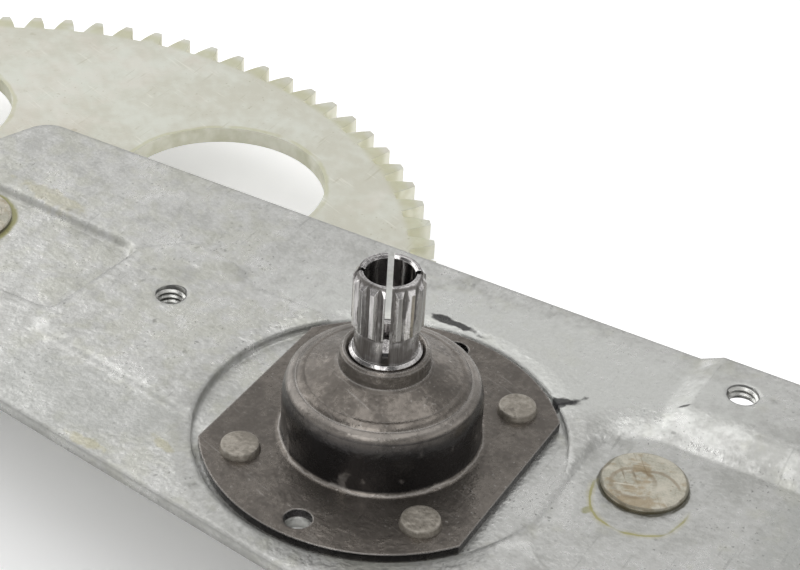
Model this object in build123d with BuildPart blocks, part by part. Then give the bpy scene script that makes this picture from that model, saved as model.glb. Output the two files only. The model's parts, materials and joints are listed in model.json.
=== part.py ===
"""Hand crank window regulator, parallel arm type, flat as it lies with the crank up.

Frame: origin on the crank axis at the level of the plate's top face, +X along the
straight far edge of the base plate, +Z up along the crank.  Millimetres and degrees.
"""

import os
from math import acos, atan2, cos, degrees, hypot, pi, radians, sin, sqrt, tan

from build123d import *

os.makedirs("parts", exist_ok=True)

# ---------------------------------------------------------------- clearances
RUNNING = 0.05  # radial clearance of a pin or shaft that turns in its hole
AIR = 0.3  # clear space between bodies that pass one another
SEATING = 0.02  # radial clearance of a fixed part pushed into its hole
LEVEL_GAP = 0.4  # height left between the gear, the arms and the bracket
OVERCUT = 1.0  # cutting bodies reach this far past the faces they open

# ---------------------------------------------------------------- sheet and arms
SHEET = 2.0  # thickness of the pressed base plate
GEAR_THICK = 3.0  # thickness of the sector gear
ARM_THICK = 3.0  # thickness of both arms
BRACKET_THICK = 3.0  # thickness of the lift bracket
ARM_LENGTH = 200.0  # pivot to rail pin, both arms
ARM_ANGLE = 170.0  # direction of both arms at rest

# ---------------------------------------------------------------- gear pair
MODULE = 2.0
SECTOR_TEETH_FULL = 80  # teeth the sector would have as a whole wheel
PINION_TEETH = 10
PRESSURE_ANGLE = radians(20)
SHIFT = 0.4  # profile shift, plus on the pinion and minus on the sector
PINION_TIP_CUT = 0.2  # the pinion's sharp tips are turned down by this much
FLANK_THINNING = 0.12  # taken off every flank for backlash, along the pitch circle
DEDENDUM = 1.25  # in modules
TOOTH_PHASE = 1.9  # direction of one sector tooth at rest
FIRST_TOOTH = -4  # index of the first tooth counted from TOOTH_PHASE
SECTOR_TOOTH_COUNT = 43
TOOTH_SINK = 0.6  # teeth reach this far below the root circle, into the rim

SECTOR_PITCH_R = MODULE * SECTOR_TEETH_FULL / 2
PINION_PITCH_R = MODULE * PINION_TEETH / 2
CENTRE_DISTANCE = SECTOR_PITCH_R + PINION_PITCH_R
TOOTH_STEP = 360 / SECTOR_TEETH_FULL
SECTOR_TIP_R = SECTOR_PITCH_R + MODULE * (1 - SHIFT)
SECTOR_ROOT_R = SECTOR_PITCH_R - MODULE * (DEDENDUM + SHIFT)
PINION_TIP_R = PINION_PITCH_R + MODULE * (1 + SHIFT) - PINION_TIP_CUT
PINION_ROOT_R = PINION_PITCH_R - MODULE * (DEDENDUM - SHIFT)

# ---------------------------------------------------------------- pivots
PIVOT_Y = 12.0  # both arm pivots lie on this line, parallel to the far edge
MAIN_PIVOT = (-sqrt(CENTRE_DISTANCE**2 - PIVOT_Y**2), PIVOT_Y)
AUX_PIVOT = (38.0, PIVOT_Y)
PIVOT_SPAN = AUX_PIVOT[0] - MAIN_PIVOT[0]
PIVOT_R = 5.0  # journal of the pivot studs
MAIN_HEAD_R = 8.2
AUX_HEAD_R = 6.6
STUD_HEAD_HEIGHT = 0.9
STUD_HEAD_CHAMFER = 0.25
STUD_FOOT_R = PIVOT_R + 2.6
STUD_FOOT_HEIGHT = 1.5
STUD_FOOT_SLOPE = 15.0
THRUST_THICK = 2.4  # washer between the plate and the sector gear
WASHER_THICK = 0.7
PIVOT_WASHER_R = PIVOT_R + 4.0
SPACER_R = PIVOT_R + 3.0

# ---------------------------------------------------------------- pressed areas of the plate
SEAT_R = 28.5  # round seat of the crank housing
SEAT_DEPTH = 1.0
SEAT_WALL_RUN = 0.3
SEAT_BACK_GROWTH = 0.9  # the seat stands out this much wider on the underside
SEAT_BACK_RUN = 0.5
PANEL_DEPTH = 1.3  # lowered panels that carry the pivot studs
PAD_RISE = 1.8  # raised pad that carries the tapped hole at the right
FIELD_RISE = 0.3  # shallow raised field round the tapped hole at the left
PRESS_CORNER_R = 3.0
FLOOR_CORNER_R = 8.8
PAD_CORNER_R = 8.0
STEEP_WALL = 36.0  # slope of the plain pressed walls, from the vertical
BACK_GROWTH = 0.4  # lowered panels are this much wider on the underside
BACK_SHRINK = 0.6  # raised areas are this much narrower on the underside
FLOOR_SLOPE = ((1.0, 0.0), (0.46, 1.2), (0.15, 3.2), (0.0, 5.8))  # share of the depth, growth
BAND_SLOPE = ((0.0, 0.0), (0.355, 1.3), (0.677, 2.9), (0.903, 4.6), (1.0, 6.4))  # share of the rise
PAD_SLOPE = ((0.0, 3.7), (0.22, 2.9), (0.78, 0.8), (1.0, 0.0))  # share of the rise, growth
PAD_FOOT_SPREAD = 2.0  # growth of the pad per millimetre below the plate's face

# ---------------------------------------------------------------- levels
SEAT_Z = -SEAT_DEPTH
SEAT_UNDER_Z = SEAT_Z - SHEET
PANEL_Z = -PANEL_DEPTH
PANEL_UNDER_Z = PANEL_Z - SHEET
GEAR_TOP_Z = PANEL_UNDER_Z - THRUST_THICK - AIR
GEAR_UNDER_Z = GEAR_TOP_Z - GEAR_THICK
MAIN_ARM_UNDER_Z = GEAR_UNDER_Z - ARM_THICK
AUX_ARM_TOP_Z = MAIN_ARM_UNDER_Z - LEVEL_GAP
AUX_ARM_UNDER_Z = AUX_ARM_TOP_Z - ARM_THICK
MAIN_FOOT_Z = MAIN_ARM_UNDER_Z - AIR - WASHER_THICK
AUX_FOOT_Z = AUX_ARM_UNDER_Z - AIR - WASHER_THICK
BRACKET_TOP_Z = AUX_ARM_UNDER_Z - LEVEL_GAP
BRACKET_UNDER_Z = BRACKET_TOP_Z - BRACKET_THICK

# ---------------------------------------------------------------- crank housing
FLANGE_THICK = 1.5
FLANGE_MARGIN = 1.2  # the flange ends this far inside the seat
FLANGE_R = SEAT_R - FLANGE_MARGIN
FLANGE_HALF_WIDTH = 22.0
FLANGE_TOP_Z = SEAT_Z + FLANGE_THICK
DRUM_R = 15.0
DRUM_WALL = 2.0
FOOT_FILLET = 0.8
SHOULDER = ((0.0, 6.2), (0.07, 7.6), (0.4, 8.9), (0.8, 9.75), (1.7, 10.2))  # inwards, above the flange
DISC_EDGE = ((1.95, 10.1), (2.35, 10.55), (3.4, 10.85))  # inwards from the drum, above the flange
CAVITY_HEIGHT = 8.7  # above the flange
CAVITY_CORNER = (2.0, 2.9)  # slope at the top of the cavity: inwards, down
NECK_R = 6.85
NECK_HEIGHT = 12.45
NECK_FLARE = (0.5, 0.4)  # outwards, down
COLLAR_R = 6.65
COLLAR_HEIGHT = 15.5
COLLAR_CHAMFER = 0.35
COLLAR_MOUTH = 0.5  # chamfer at the mouth of the collar's bore
OPENING_MARGIN = 0.9  # the crank opening is this much narrower than the cavity
RIVET_SHIFT = 0.35  # outwards from the middle between drum and flange edge
RIVET_OFFSET = ((FLANGE_R + DRUM_R) / 2 + RIVET_SHIFT) / sqrt(2)  # corners of a square
RIVET_R = 2.0
RIVET_HEAD_R = 2.75
RIVET_HEAD_FLARE = 0.35
RIVET_HEAD_HEIGHT = 1.1
RIVET_HEAD_SLOPE = 14.0
RIVET_TAIL_HEIGHT = 1.2
OPEN_HOLE_R = 2.1
OPEN_HOLE_EDGE = 1.6  # metal between an open hole and the flange edge
OPEN_HOLE_Y = FLANGE_R - OPEN_HOLE_R - OPEN_HOLE_EDGE

# ---------------------------------------------------------------- crank shaft
JOURNAL_R = 5.43
JOURNAL_RISE = 0.3  # the journal ends this far above the collar
JOURNAL_CHAMFER = 0.4
NECK_JOURNAL_R = 4.73
SPLINE_TIP_R = 5.3
SPLINE_TIP_HALF_WIDTH = 0.32
SPLINE_ROOT_R = 4.65
SPLINE_ROOT_SHARE = 0.86  # of the tooth step, taken up by the tooth's foot
SPLINE_TEETH = 16
SPLINE_PHASE = 1.5
SPLINE_SINK = 0.3
SHAFT_TOP = 29.1  # above the flange
SPLINE_LENGTH = 9.4
SPLINE_CHAMFER = 1.3
SPLINE_CHAMFER_DEPTH = 0.85
SPLINE_FOOT_CHAMFER = 0.7
SHAFT_BORE_R = 3.6
SHAFT_BORE_DEPTH = 15.0
SHAFT_BORE_TIP = 1.6  # depth of the drill's cone below the bore
BORE_CHAMFER = 0.35
SLOT_WIDTH = 0.9
SLOT_DEPTH = 12.0
SLOT_ANGLE = 27.6
SPIGOT_R = 3.0
SPIGOT_CHAMFER = 0.3
SPIGOT_GROOVE = 0.5
SPIGOT_END = 0.5  # below the retaining ring
DRIVE_DISC_THICK = 2.0
DRIVE_DISC_R = 10.6
DRIVE_DISC_GAP = 0.6  # under the top of the cavity
FINGER_INNER_R = 8.2
FINGER_SPAN = 240.0  # degrees of the drive finger round the core

# ---------------------------------------------------------------- brake spring and core
WIRE = 1.3
SPRING_COILS = 3  # whole coils before the gap between the tangs is taken off
SPRING_PITCH = 1.9
SPRING_LIFT = 0.5  # above the seat
TANG_ANGLE = 40.0  # each tang stands this far from the middle of the core lug
TANG_LENGTH = 2.9
TANG_SINK = 0.4  # the tangs start this far inside the wire
CORE_R = 7.6
LUG_SPAN = 40.0
LUG_R = 10.7
PINION_DROP = 1.6  # the teeth start this far under the seat
PINION_WASHER_R = 7.2
PINION_WASHER_THICK = 0.8
PINION_RING_R = 5.4
PINION_RING_THICK = 0.8
PINION_RING_GAP = (5.0, 3.2)
RING_GAP_SHIFT = 0.9  # the gap's middle lies this far inside a ring's outer edge

# ---------------------------------------------------------------- tapped holes
THREAD_R = 2.5  # M6 core hole
LEFT_THREAD_LENGTH = 5.0
RIGHT_THREAD_LENGTH = 2.5
COLLAR_WALL = 1.5
COLLAR_SINK = 0.5  # the drawn collars end this far below the face
LEFT_THREAD = (-45.9, 11.4)
RIGHT_THREAD = (43.5, 36.3)

# ---------------------------------------------------------------- outline of the plate
FAR_EDGE_Y = 43.7
PLATE_OUTLINE = [
    (-95.4, FAR_EDGE_Y),
    (72.0, FAR_EDGE_Y),
    (80.0, 34.0),
    (80.0, -4.0),
    (62.0, -24.0),
    (24.0, -36.1),
    (-84.0, -20.0),
    (-103.0, -8.0),
    (-105.0, 18.0),
]
PLATE_CORNER_R = 5.0
LEFT_PANEL = [(-120.0, 24.0), (-58.6, 19.4), (-59.7, -1.3), (-120.0, -1.3)]
LEFT_FIELD = [
    (-60.0, -7.0),
    (-22.0, -13.0),
    (-20.0, 20.5),
    (-35.5, 20.5),
    (-42.0, 24.5),
    (-51.0, 26.0),
    (-57.6, 20.0),
]
RIGHT_FLOOR_EDGE_Y = 23.1
RIGHT_FLOOR = [
    (28.4, RIGHT_FLOOR_EDGE_Y),
    (96.0, RIGHT_FLOOR_EDGE_Y),
    (96.0, -12.0),
    (28.4, -12.0),
]
PAD_LEFT_X = 37.4
RIGHT_PAD = [(PAD_LEFT_X, 60.0), (PAD_LEFT_X, 23.5), (96.0, 23.5), (96.0, 60.0)]
HOLLOW_X = PAD_LEFT_X + BACK_SHRINK
HOLLOW_Y = RIGHT_FLOOR_EDGE_Y + BAND_SLOPE[-1][1] + BACK_GROWTH
PAD_HOLLOW = [(HOLLOW_X, 60.0), (HOLLOW_X, HOLLOW_Y), (96.0, HOLLOW_Y), (96.0, 60.0)]

# ---------------------------------------------------------------- sector gear
HOLE_R = 18.9  # lightening holes
HOLE_DISTANCE = 47.8
HOLE_ANGLES = (57.0, 141.4)
SECTOR_END_MARGIN = 2.4  # degrees of rim past the last tooth
SECTOR_HUB_R = 26.0
SECTOR_HUB_SPREAD = 40.0  # degrees past the rim's ends where the hub is met
ARM_RIVET_CIRCLE_R = 19.0
ARM_RIVET_R = 3.0
ARM_RIVET_HEAD_R = 5.0
ARM_RIVET_HEAD_HEIGHT = 1.4
ARM_RIVET_HEAD_RUN = 1.2
ARM_RIVET_ANGLES = (-20.0, 90.0, 200.0)  # from the arm's direction

# ---------------------------------------------------------------- arms, bracket, rail pins
ARM_ROOT_R = 25.0
ARM_ROOT_SPREAD = 62.0  # degrees either side of the arm where it leaves the root
ARM_NECK = 52.0  # the root tapers to the arm's width this far from the pivot
ARM_NECK_HALF_WIDTH = 12.0
ARM_TIP_R = 10.0
AUX_ROOT_R = 12.0
AUX_HALF_WIDTH = 10.0
AUX_TIP_R = 9.0
BEAD_START = 48.0
BEAD_END = 132.0
BEAD_HALF_WIDTH = 4.5
BEAD_DEPTH = 1.4
BEAD_SLOPE = 30.0
BEAD_SHRINK = 1.0  # the hollow of the bead is narrower than its back
PIN_R = 4.0
PIN_HEAD_R = 6.5
PIN_HEAD_HEIGHT = 2.0
PIN_HEAD_CHAMFER = 1.0
PIN_GROOVE = 0.6
PIN_END = 0.6  # below the retaining ring
PIN_END_CHAMFER = 0.3
PIN_RING_R = 5.6
PIN_RING_THICK = 0.9
PIN_RING_GAP = (4.4, 3.8)
BUSH_WALL = 1.5
BUSH_FLANGE_R = 8.0
BUSH_FLANGE_THICK = 0.8
BRACKET_HALF_WIDTH = 13.0
BRACKET_REACH = 24.0  # past each rail pin
BRACKET_CORNER_R = 9.0
BRACKET_SLOT_R = 3.3
BRACKET_SLOT_LENGTH = 14.0
BRACKET_SLOT_PITCH = 50.0
BRACKET_WINDOW = (26.0, 12.0)
BRACKET_WINDOW_CORNER_R = 4.0
LIP_THICK = 2.0
LIP_HEIGHT = 4.0
LIP_INSET = 6.0  # the folded lips end this far short of each rail pin


def polar(radius, angle, centre=(0.0, 0.0)):
    """Point at a radius and a direction in degrees from a centre."""
    return (centre[0] + radius * cos(radians(angle)), centre[1] + radius * sin(radians(angle)))


def tooth_half_angle(radius, pitch_r, half_thickness, base_r):
    """Half the angle, in radians, that an involute tooth takes up at a radius."""
    involute_pitch = tan(PRESSURE_ANGLE) - PRESSURE_ANGLE
    if radius <= base_r:
        return half_thickness / pitch_r + involute_pitch
    angle = acos(base_r / radius)
    return half_thickness / pitch_r + involute_pitch - (tan(angle) - angle)


def tooth_points(pitch_r, root_r, tip_r, shift):
    """Right flank of a tooth that points along +X: foot, base, middle and tip."""
    base_r = pitch_r * cos(PRESSURE_ANGLE)
    half = MODULE * (pi / 4 + shift * tan(PRESSURE_ANGLE)) - FLANK_THINNING
    start_r = max(base_r, root_r)
    middle_r = (start_r + tip_r) / 2
    points = []
    for radius in (root_r - TOOTH_SINK, start_r, middle_r, tip_r):
        angle = tooth_half_angle(radius, pitch_r, half, base_r)
        points.append((radius * cos(angle), -radius * sin(angle)))
    return points


def draw_tooth(points):
    """Closed outline of one tooth in the active sketch, from its right flank."""
    foot, base, middle, tip = points
    mirror_foot, mirror_base, mirror_middle, mirror_tip = [(x, -y) for x, y in points]
    with BuildLine() as outline:
        Line(foot, base)
        ThreePointArc(base, middle, tip)
        Line(tip, mirror_tip)
        ThreePointArc(mirror_tip, mirror_middle, mirror_base)
        Line(mirror_base, mirror_foot)
        Line(mirror_foot, foot)
    make_face(outline.edges())


def grown(points, amount):
    """Polygon with every side moved outwards by an amount."""
    count = len(points)
    area = sum(points[i - 1][0] * points[i][1] - points[i][0] * points[i - 1][1] for i in range(count))
    side = amount if area > 0 else -amount
    lines = []
    for i in range(count):
        (x1, y1), (x2, y2) = points[i], points[(i + 1) % count]
        length = hypot(x2 - x1, y2 - y1)
        normal = ((y2 - y1) / length, (x1 - x2) / length)
        lines.append((normal[0], normal[1], normal[0] * x1 + normal[1] * y1 + side))
    corners = []
    for i in range(count):
        a1, b1, c1 = lines[i - 1]
        a2, b2, c2 = lines[i]
        det = a1 * b2 - a2 * b1
        corners.append(((c1 * b2 - c2 * b1) / det, (a1 * c2 - a2 * c1) / det))
    return corners


def press(points, radius, levels, mode=Mode.ADD):
    """Sloping sided block through levels, each a height and an amount of growth."""
    sections = []
    for height, growth in levels:
        with BuildSketch(Plane.XY.offset(height)) as section:
            with BuildLine():
                FilletPolyline(*grown(points, growth), radius=radius + growth, close=True)
            make_face()
        sections.append(section.sketch.face())
    loft(sections, ruled=True, mode=mode)

def press_round(centre, levels, mode=Mode.ADD):
    """Cone shaped block between two levels, each a height and a radius."""
    sections = []
    for height, radius in levels:
        with BuildSketch(Plane.XY.offset(height)) as section:
            with Locations(centre):
                Circle(radius)
        sections.append(section.sketch.face())
    loft(sections, ruled=True, mode=mode)


# ================================================================ base plate
FLOOR_LEVELS = [(-PANEL_DEPTH * share, growth) for share, growth in FLOOR_SLOPE]
FLOOR_BACK_LEVELS = [(height - SHEET, growth + BACK_GROWTH) for height, growth in FLOOR_LEVELS]
BAND_LEVELS = [(PANEL_Z + (PAD_RISE + PANEL_DEPTH) * share, growth) for share, growth in BAND_SLOPE]
PAD_LEVELS = [(PAD_RISE * share, growth) for share, growth in PAD_SLOPE]
PAD_FOOT_LEVEL = (-SHEET, PAD_SLOPE[0][1] + PAD_FOOT_SPREAD * SHEET)
HOLLOW_FOOT_LEVEL = (PANEL_UNDER_Z - OVERCUT, PAD_SLOPE[0][1])
HOLLOW_LEVELS = [(height - SHEET, growth) for height, growth in PAD_LEVELS]
FIELD_RUN = FIELD_RISE * tan(radians(STEEP_WALL))
PANEL_RUN = PANEL_DEPTH * tan(radians(STEEP_WALL))
with BuildPart() as base_plate:
    with BuildSketch(Plane.XY.offset(-SHEET)):
        with BuildLine():
            FilletPolyline(*PLATE_OUTLINE, radius=PLATE_CORNER_R, close=True)
        make_face()
    extrude(amount=SHEET)

    # shallow field at the left, pressed up from below
    press(LEFT_FIELD, PRESS_CORNER_R, ((0, FIELD_RUN), (FIELD_RISE, 0)))
    field_back = ((-SHEET, FIELD_RUN - BACK_SHRINK), (FIELD_RISE - SHEET, -BACK_SHRINK))
    press(LEFT_FIELD, PRESS_CORNER_R, field_back, Mode.SUBTRACT)

    # lowered floor at the right with its soft slope, and the raised pad beyond it
    press(RIGHT_FLOOR, FLOOR_CORNER_R, FLOOR_BACK_LEVELS)
    press(RIGHT_FLOOR, FLOOR_CORNER_R, FLOOR_LEVELS, Mode.SUBTRACT)
    press(RIGHT_PAD, PAD_CORNER_R, [PAD_FOOT_LEVEL] + PAD_LEVELS)
    press(PAD_HOLLOW, PAD_CORNER_R, [HOLLOW_FOOT_LEVEL] + HOLLOW_LEVELS, Mode.SUBTRACT)
    press(RIGHT_FLOOR, FLOOR_CORNER_R, BAND_LEVELS, Mode.SUBTRACT)

    # lowered panel at the left and the round seat of the crank housing
    press(LEFT_PANEL, PRESS_CORNER_R, ((PANEL_UNDER_Z, BACK_GROWTH), (-SHEET, PANEL_RUN + BACK_GROWTH)))
    seat_back_r = SEAT_R + SEAT_BACK_GROWTH
    press_round((0, 0), ((SEAT_UNDER_Z, seat_back_r), (-SHEET, seat_back_r + SEAT_BACK_RUN)))
    press(LEFT_PANEL, PRESS_CORNER_R, ((PANEL_Z, 0), (0, PANEL_RUN)), Mode.SUBTRACT)
    press_round((0, 0), ((SEAT_Z, SEAT_R - SEAT_WALL_RUN), (FIELD_RISE, SEAT_R)), Mode.SUBTRACT)

    # everything pressed is trimmed by the same outline
    with BuildSketch(Plane.XY.offset(PANEL_UNDER_Z - OVERCUT)):
        with BuildLine():
            FilletPolyline(*PLATE_OUTLINE, radius=PLATE_CORNER_R, close=True)
        make_face()
    extrude(amount=PAD_RISE - PANEL_UNDER_Z + 2 * OVERCUT, mode=Mode.INTERSECT)

    # drawn collars of the tapped holes
    for point, top, length in (
        (LEFT_THREAD, FIELD_RISE, LEFT_THREAD_LENGTH),
        (RIGHT_THREAD, PAD_RISE, RIGHT_THREAD_LENGTH),
    ):
        with BuildSketch(Plane.XY.offset(top - length)):
            with Locations(point):
                Circle(THREAD_R + COLLAR_WALL)
        extrude(amount=length - COLLAR_SINK)
        with BuildSketch(Plane.XY.offset(top - length - OVERCUT)):
            with Locations(point):
                Circle(THREAD_R)
        extrude(amount=length + 2 * OVERCUT, mode=Mode.SUBTRACT)

    # bores: crank opening, housing rivets, open holes, pivot studs
    with BuildSketch(Plane.XY.offset(PANEL_UNDER_Z - OVERCUT)):
        Circle(DRUM_R - DRUM_WALL - OPENING_MARGIN)
        with GridLocations(2 * RIVET_OFFSET, 2 * RIVET_OFFSET, 2, 2):
            Circle(RIVET_R + SEATING)
        with Locations((0, OPEN_HOLE_Y), (0, -OPEN_HOLE_Y)):
            Circle(OPEN_HOLE_R)
        with Locations(MAIN_PIVOT, AUX_PIVOT):
            Circle(PIVOT_R + SEATING)
    extrude(amount=OVERCUT - PANEL_UNDER_Z + OVERCUT, mode=Mode.SUBTRACT)

base_plate.part.label = "base_plate"
export_step(base_plate.part, "parts/base_plate.step")

# ================================================================ crank housing
CAVITY_R = DRUM_R - DRUM_WALL
CAVITY_TOP_Z = FLANGE_TOP_Z + CAVITY_HEIGHT
COLLAR_Z = FLANGE_TOP_Z + COLLAR_HEIGHT
shoulder_points = [(DRUM_R - inwards, FLANGE_TOP_Z + height) for inwards, height in SHOULDER]
edge_points = [(DRUM_R - inwards, FLANGE_TOP_Z + height) for inwards, height in DISC_EDGE]
neck_point = (NECK_R, FLANGE_TOP_Z + NECK_HEIGHT + NECK_FLARE[1])
flare_point = (NECK_R + NECK_FLARE[0], FLANGE_TOP_Z + NECK_HEIGHT)
rim_point = (COLLAR_R, COLLAR_Z - COLLAR_CHAMFER)
with BuildPart() as crank_housing:
    with BuildSketch(Plane.XY.offset(SEAT_Z)):
        Circle(FLANGE_R)
        Rectangle(2 * FLANGE_HALF_WIDTH, 3 * FLANGE_R, mode=Mode.INTERSECT)
    extrude(amount=FLANGE_THICK)
    with BuildSketch(Plane.XZ):
        with BuildLine():
            Polyline((0, SEAT_Z), (DRUM_R, SEAT_Z), shoulder_points[0])
            ThreePointArc(*shoulder_points[0:3])
            ThreePointArc(*shoulder_points[2:5])
            Line(shoulder_points[4], edge_points[0])
            ThreePointArc(*edge_points)
            Polyline(edge_points[2], flare_point, neck_point, rim_point)
            Polyline(rim_point, (COLLAR_R - COLLAR_CHAMFER, COLLAR_Z), (0, COLLAR_Z), (0, SEAT_Z))
        make_face()
    revolve(axis=Axis.Z)
    foot_edges = crank_housing.edges().filter_by(GeomType.CIRCLE).filter_by(
        lambda edge: abs(edge.radius - DRUM_R) < 1e-3 and abs(edge.center().Z - FLANGE_TOP_Z) < 1e-3
    )
    fillet(foot_edges, FOOT_FILLET)
    # cavity of the brake and the bore of the collar, with its mouth chamfer
    bore_r = JOURNAL_R + RUNNING
    with BuildSketch(Plane.XZ):
        with BuildLine():
            Polyline(
                (0, SEAT_Z - OVERCUT),
                (CAVITY_R, SEAT_Z - OVERCUT),
                (CAVITY_R, CAVITY_TOP_Z - CAVITY_CORNER[1]),
                (CAVITY_R - CAVITY_CORNER[0], CAVITY_TOP_Z),
                (bore_r, CAVITY_TOP_Z),
                (bore_r, COLLAR_Z - COLLAR_MOUTH),
                (bore_r + COLLAR_MOUTH, COLLAR_Z),
                (bore_r + COLLAR_MOUTH, COLLAR_Z + OVERCUT),
                (0, COLLAR_Z + OVERCUT),
                close=True,
            )
        make_face()
    revolve(axis=Axis.Z, mode=Mode.SUBTRACT)
    with BuildSketch(Plane.XY.offset(SEAT_Z - OVERCUT)):
        with GridLocations(2 * RIVET_OFFSET, 2 * RIVET_OFFSET, 2, 2):
            Circle(RIVET_R + SEATING)
        with Locations((0, OPEN_HOLE_Y), (0, -OPEN_HOLE_Y)):
            Circle(OPEN_HOLE_R)
    extrude(amount=FLANGE_THICK + 2 * OVERCUT, mode=Mode.SUBTRACT)

crank_housing.part.label = "crank_housing"
export_step(crank_housing.part, "parts/crank_housing.step")

# ================================================================ housing rivets
with BuildPart() as housing_rivets:
    with BuildSketch(Plane.XY.offset(SEAT_UNDER_Z)):
        with GridLocations(2 * RIVET_OFFSET, 2 * RIVET_OFFSET, 2, 2):
            Circle(RIVET_R)
    extrude(amount=FLANGE_TOP_Z - SEAT_UNDER_Z)
    with BuildSketch(Plane.XY.offset(FLANGE_TOP_Z)):
        with GridLocations(2 * RIVET_OFFSET, 2 * RIVET_OFFSET, 2, 2):
            Circle(RIVET_HEAD_R + RIVET_HEAD_FLARE)
    extrude(amount=RIVET_HEAD_HEIGHT, taper=RIVET_HEAD_SLOPE)
    with BuildSketch(Plane.XY.offset(SEAT_UNDER_Z)):
        with GridLocations(2 * RIVET_OFFSET, 2 * RIVET_OFFSET, 2, 2):
            Circle(RIVET_HEAD_R)
    extrude(amount=-RIVET_TAIL_HEIGHT)

housing_rivets.part.label = "housing_rivets"
export_step(housing_rivets.part, "parts/housing_rivets.step")

# ================================================================ crank shaft
SHAFT_TOP_Z = FLANGE_TOP_Z + SHAFT_TOP
SPLINE_Z = SHAFT_TOP_Z - SPLINE_LENGTH
JOURNAL_TOP_Z = COLLAR_Z + JOURNAL_RISE
DISC_TOP_Z = CAVITY_TOP_Z - DRIVE_DISC_GAP
DISC_UNDER_Z = DISC_TOP_Z - DRIVE_DISC_THICK
CORE_TOP_Z = DISC_UNDER_Z - LEVEL_GAP
CATCH_Z = SEAT_Z + AIR  # underside of the drive finger and of the core lug
PINION_UNDER_Z = GEAR_UNDER_Z
PINION_TOP_Z = SEAT_UNDER_Z - PINION_DROP
RING_TOP_Z = PINION_UNDER_Z - PINION_WASHER_THICK
RING_UNDER_Z = RING_TOP_Z - PINION_RING_THICK
SHAFT_FOOT_Z = RING_UNDER_Z - SPIGOT_END
with BuildPart() as crank_shaft:
    with BuildSketch(Plane.XZ):
        with BuildLine():
            Polyline(
                (0, SHAFT_FOOT_Z),
                (SPIGOT_R - SPIGOT_CHAMFER, SHAFT_FOOT_Z),
                (SPIGOT_R, SHAFT_FOOT_Z + SPIGOT_CHAMFER),
                (SPIGOT_R, RING_UNDER_Z),
                (SPIGOT_R - SPIGOT_GROOVE, RING_UNDER_Z),
                (SPIGOT_R - SPIGOT_GROOVE, RING_TOP_Z),
                (SPIGOT_R, RING_TOP_Z),
                (SPIGOT_R, DISC_UNDER_Z),
                (DRIVE_DISC_R, DISC_UNDER_Z),
                (DRIVE_DISC_R, DISC_TOP_Z),
                (JOURNAL_R, DISC_TOP_Z),
                (JOURNAL_R, JOURNAL_TOP_Z - JOURNAL_CHAMFER),
                (JOURNAL_R - JOURNAL_CHAMFER, JOURNAL_TOP_Z),
                (NECK_JOURNAL_R, JOURNAL_TOP_Z),
                (NECK_JOURNAL_R, SPLINE_Z - SPIGOT_CHAMFER),
                (SPLINE_ROOT_R, SPLINE_Z),
                (SPLINE_ROOT_R, SHAFT_TOP_Z - SPIGOT_CHAMFER),
                (SPLINE_ROOT_R - SPIGOT_CHAMFER, SHAFT_TOP_Z),
                (0, SHAFT_TOP_Z),
                (0, SHAFT_FOOT_Z),
            )
        make_face()
    revolve(axis=Axis.Z)
    # spline teeth: V shaped tips on a short root cylinder
    half_root = pi / SPLINE_TEETH * SPLINE_ROOT_SHARE
    foot_x = SPLINE_ROOT_R * cos(half_root)
    foot_y = SPLINE_ROOT_R * sin(half_root)
    with BuildSketch(Plane.XY.offset(SPLINE_Z)):
        with PolarLocations(0, SPLINE_TEETH, start_angle=SPLINE_PHASE):
            Polygon(
                (foot_x - SPLINE_SINK, -foot_y),
                (foot_x, -foot_y),
                (SPLINE_TIP_R, -SPLINE_TIP_HALF_WIDTH),
                (SPLINE_TIP_R, SPLINE_TIP_HALF_WIDTH),
                (foot_x, foot_y),
                (foot_x - SPLINE_SINK, foot_y),
                align=None,
            )
    extrude(amount=SPLINE_LENGTH)
    # the spline tips are chamfered at both ends
    outside_r = SPLINE_TIP_R + OVERCUT
    with BuildSketch(Plane.XZ):
        with BuildLine():
            Polyline(
                (outside_r, SHAFT_TOP_Z + OVERCUT),
                (SPLINE_TIP_R - SPLINE_CHAMFER_DEPTH, SHAFT_TOP_Z + OVERCUT),
                (SPLINE_TIP_R - SPLINE_CHAMFER_DEPTH, SHAFT_TOP_Z),
                (SPLINE_TIP_R + SEATING, SHAFT_TOP_Z - SPLINE_CHAMFER),
                (outside_r, SHAFT_TOP_Z - SPLINE_CHAMFER),
                close=True,
            )
        make_face()
        with BuildLine():
            Polyline(
                (NECK_JOURNAL_R, SPLINE_Z),
                (SPLINE_TIP_R + SEATING, SPLINE_Z + SPLINE_FOOT_CHAMFER),
                (outside_r, SPLINE_Z + SPLINE_FOOT_CHAMFER),
                (outside_r, SPLINE_Z),
                close=True,
            )
        make_face()
    revolve(axis=Axis.Z, mode=Mode.SUBTRACT)
    # screw bore, its mouth chamfer, and the four slots
    with BuildSketch(Plane.XZ):
        with BuildLine():
            Polyline(
                (0, SHAFT_TOP_Z + OVERCUT),
                (SHAFT_BORE_R + BORE_CHAMFER, SHAFT_TOP_Z + OVERCUT),
                (SHAFT_BORE_R + BORE_CHAMFER, SHAFT_TOP_Z),
                (SHAFT_BORE_R, SHAFT_TOP_Z - BORE_CHAMFER),
                (SHAFT_BORE_R, SHAFT_TOP_Z - SHAFT_BORE_DEPTH),
                (0, SHAFT_TOP_Z - SHAFT_BORE_DEPTH - SHAFT_BORE_TIP),
                close=True,
            )
        make_face()
    revolve(axis=Axis.Z, mode=Mode.SUBTRACT)
    with BuildSketch(Plane.XY.offset(SHAFT_TOP_Z - SLOT_DEPTH)):
        with PolarLocations(0, 2, start_angle=SLOT_ANGLE, angular_range=180):
            Rectangle(4 * SPLINE_TIP_R, SLOT_WIDTH)
    extrude(amount=SLOT_DEPTH + OVERCUT, mode=Mode.SUBTRACT)
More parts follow.
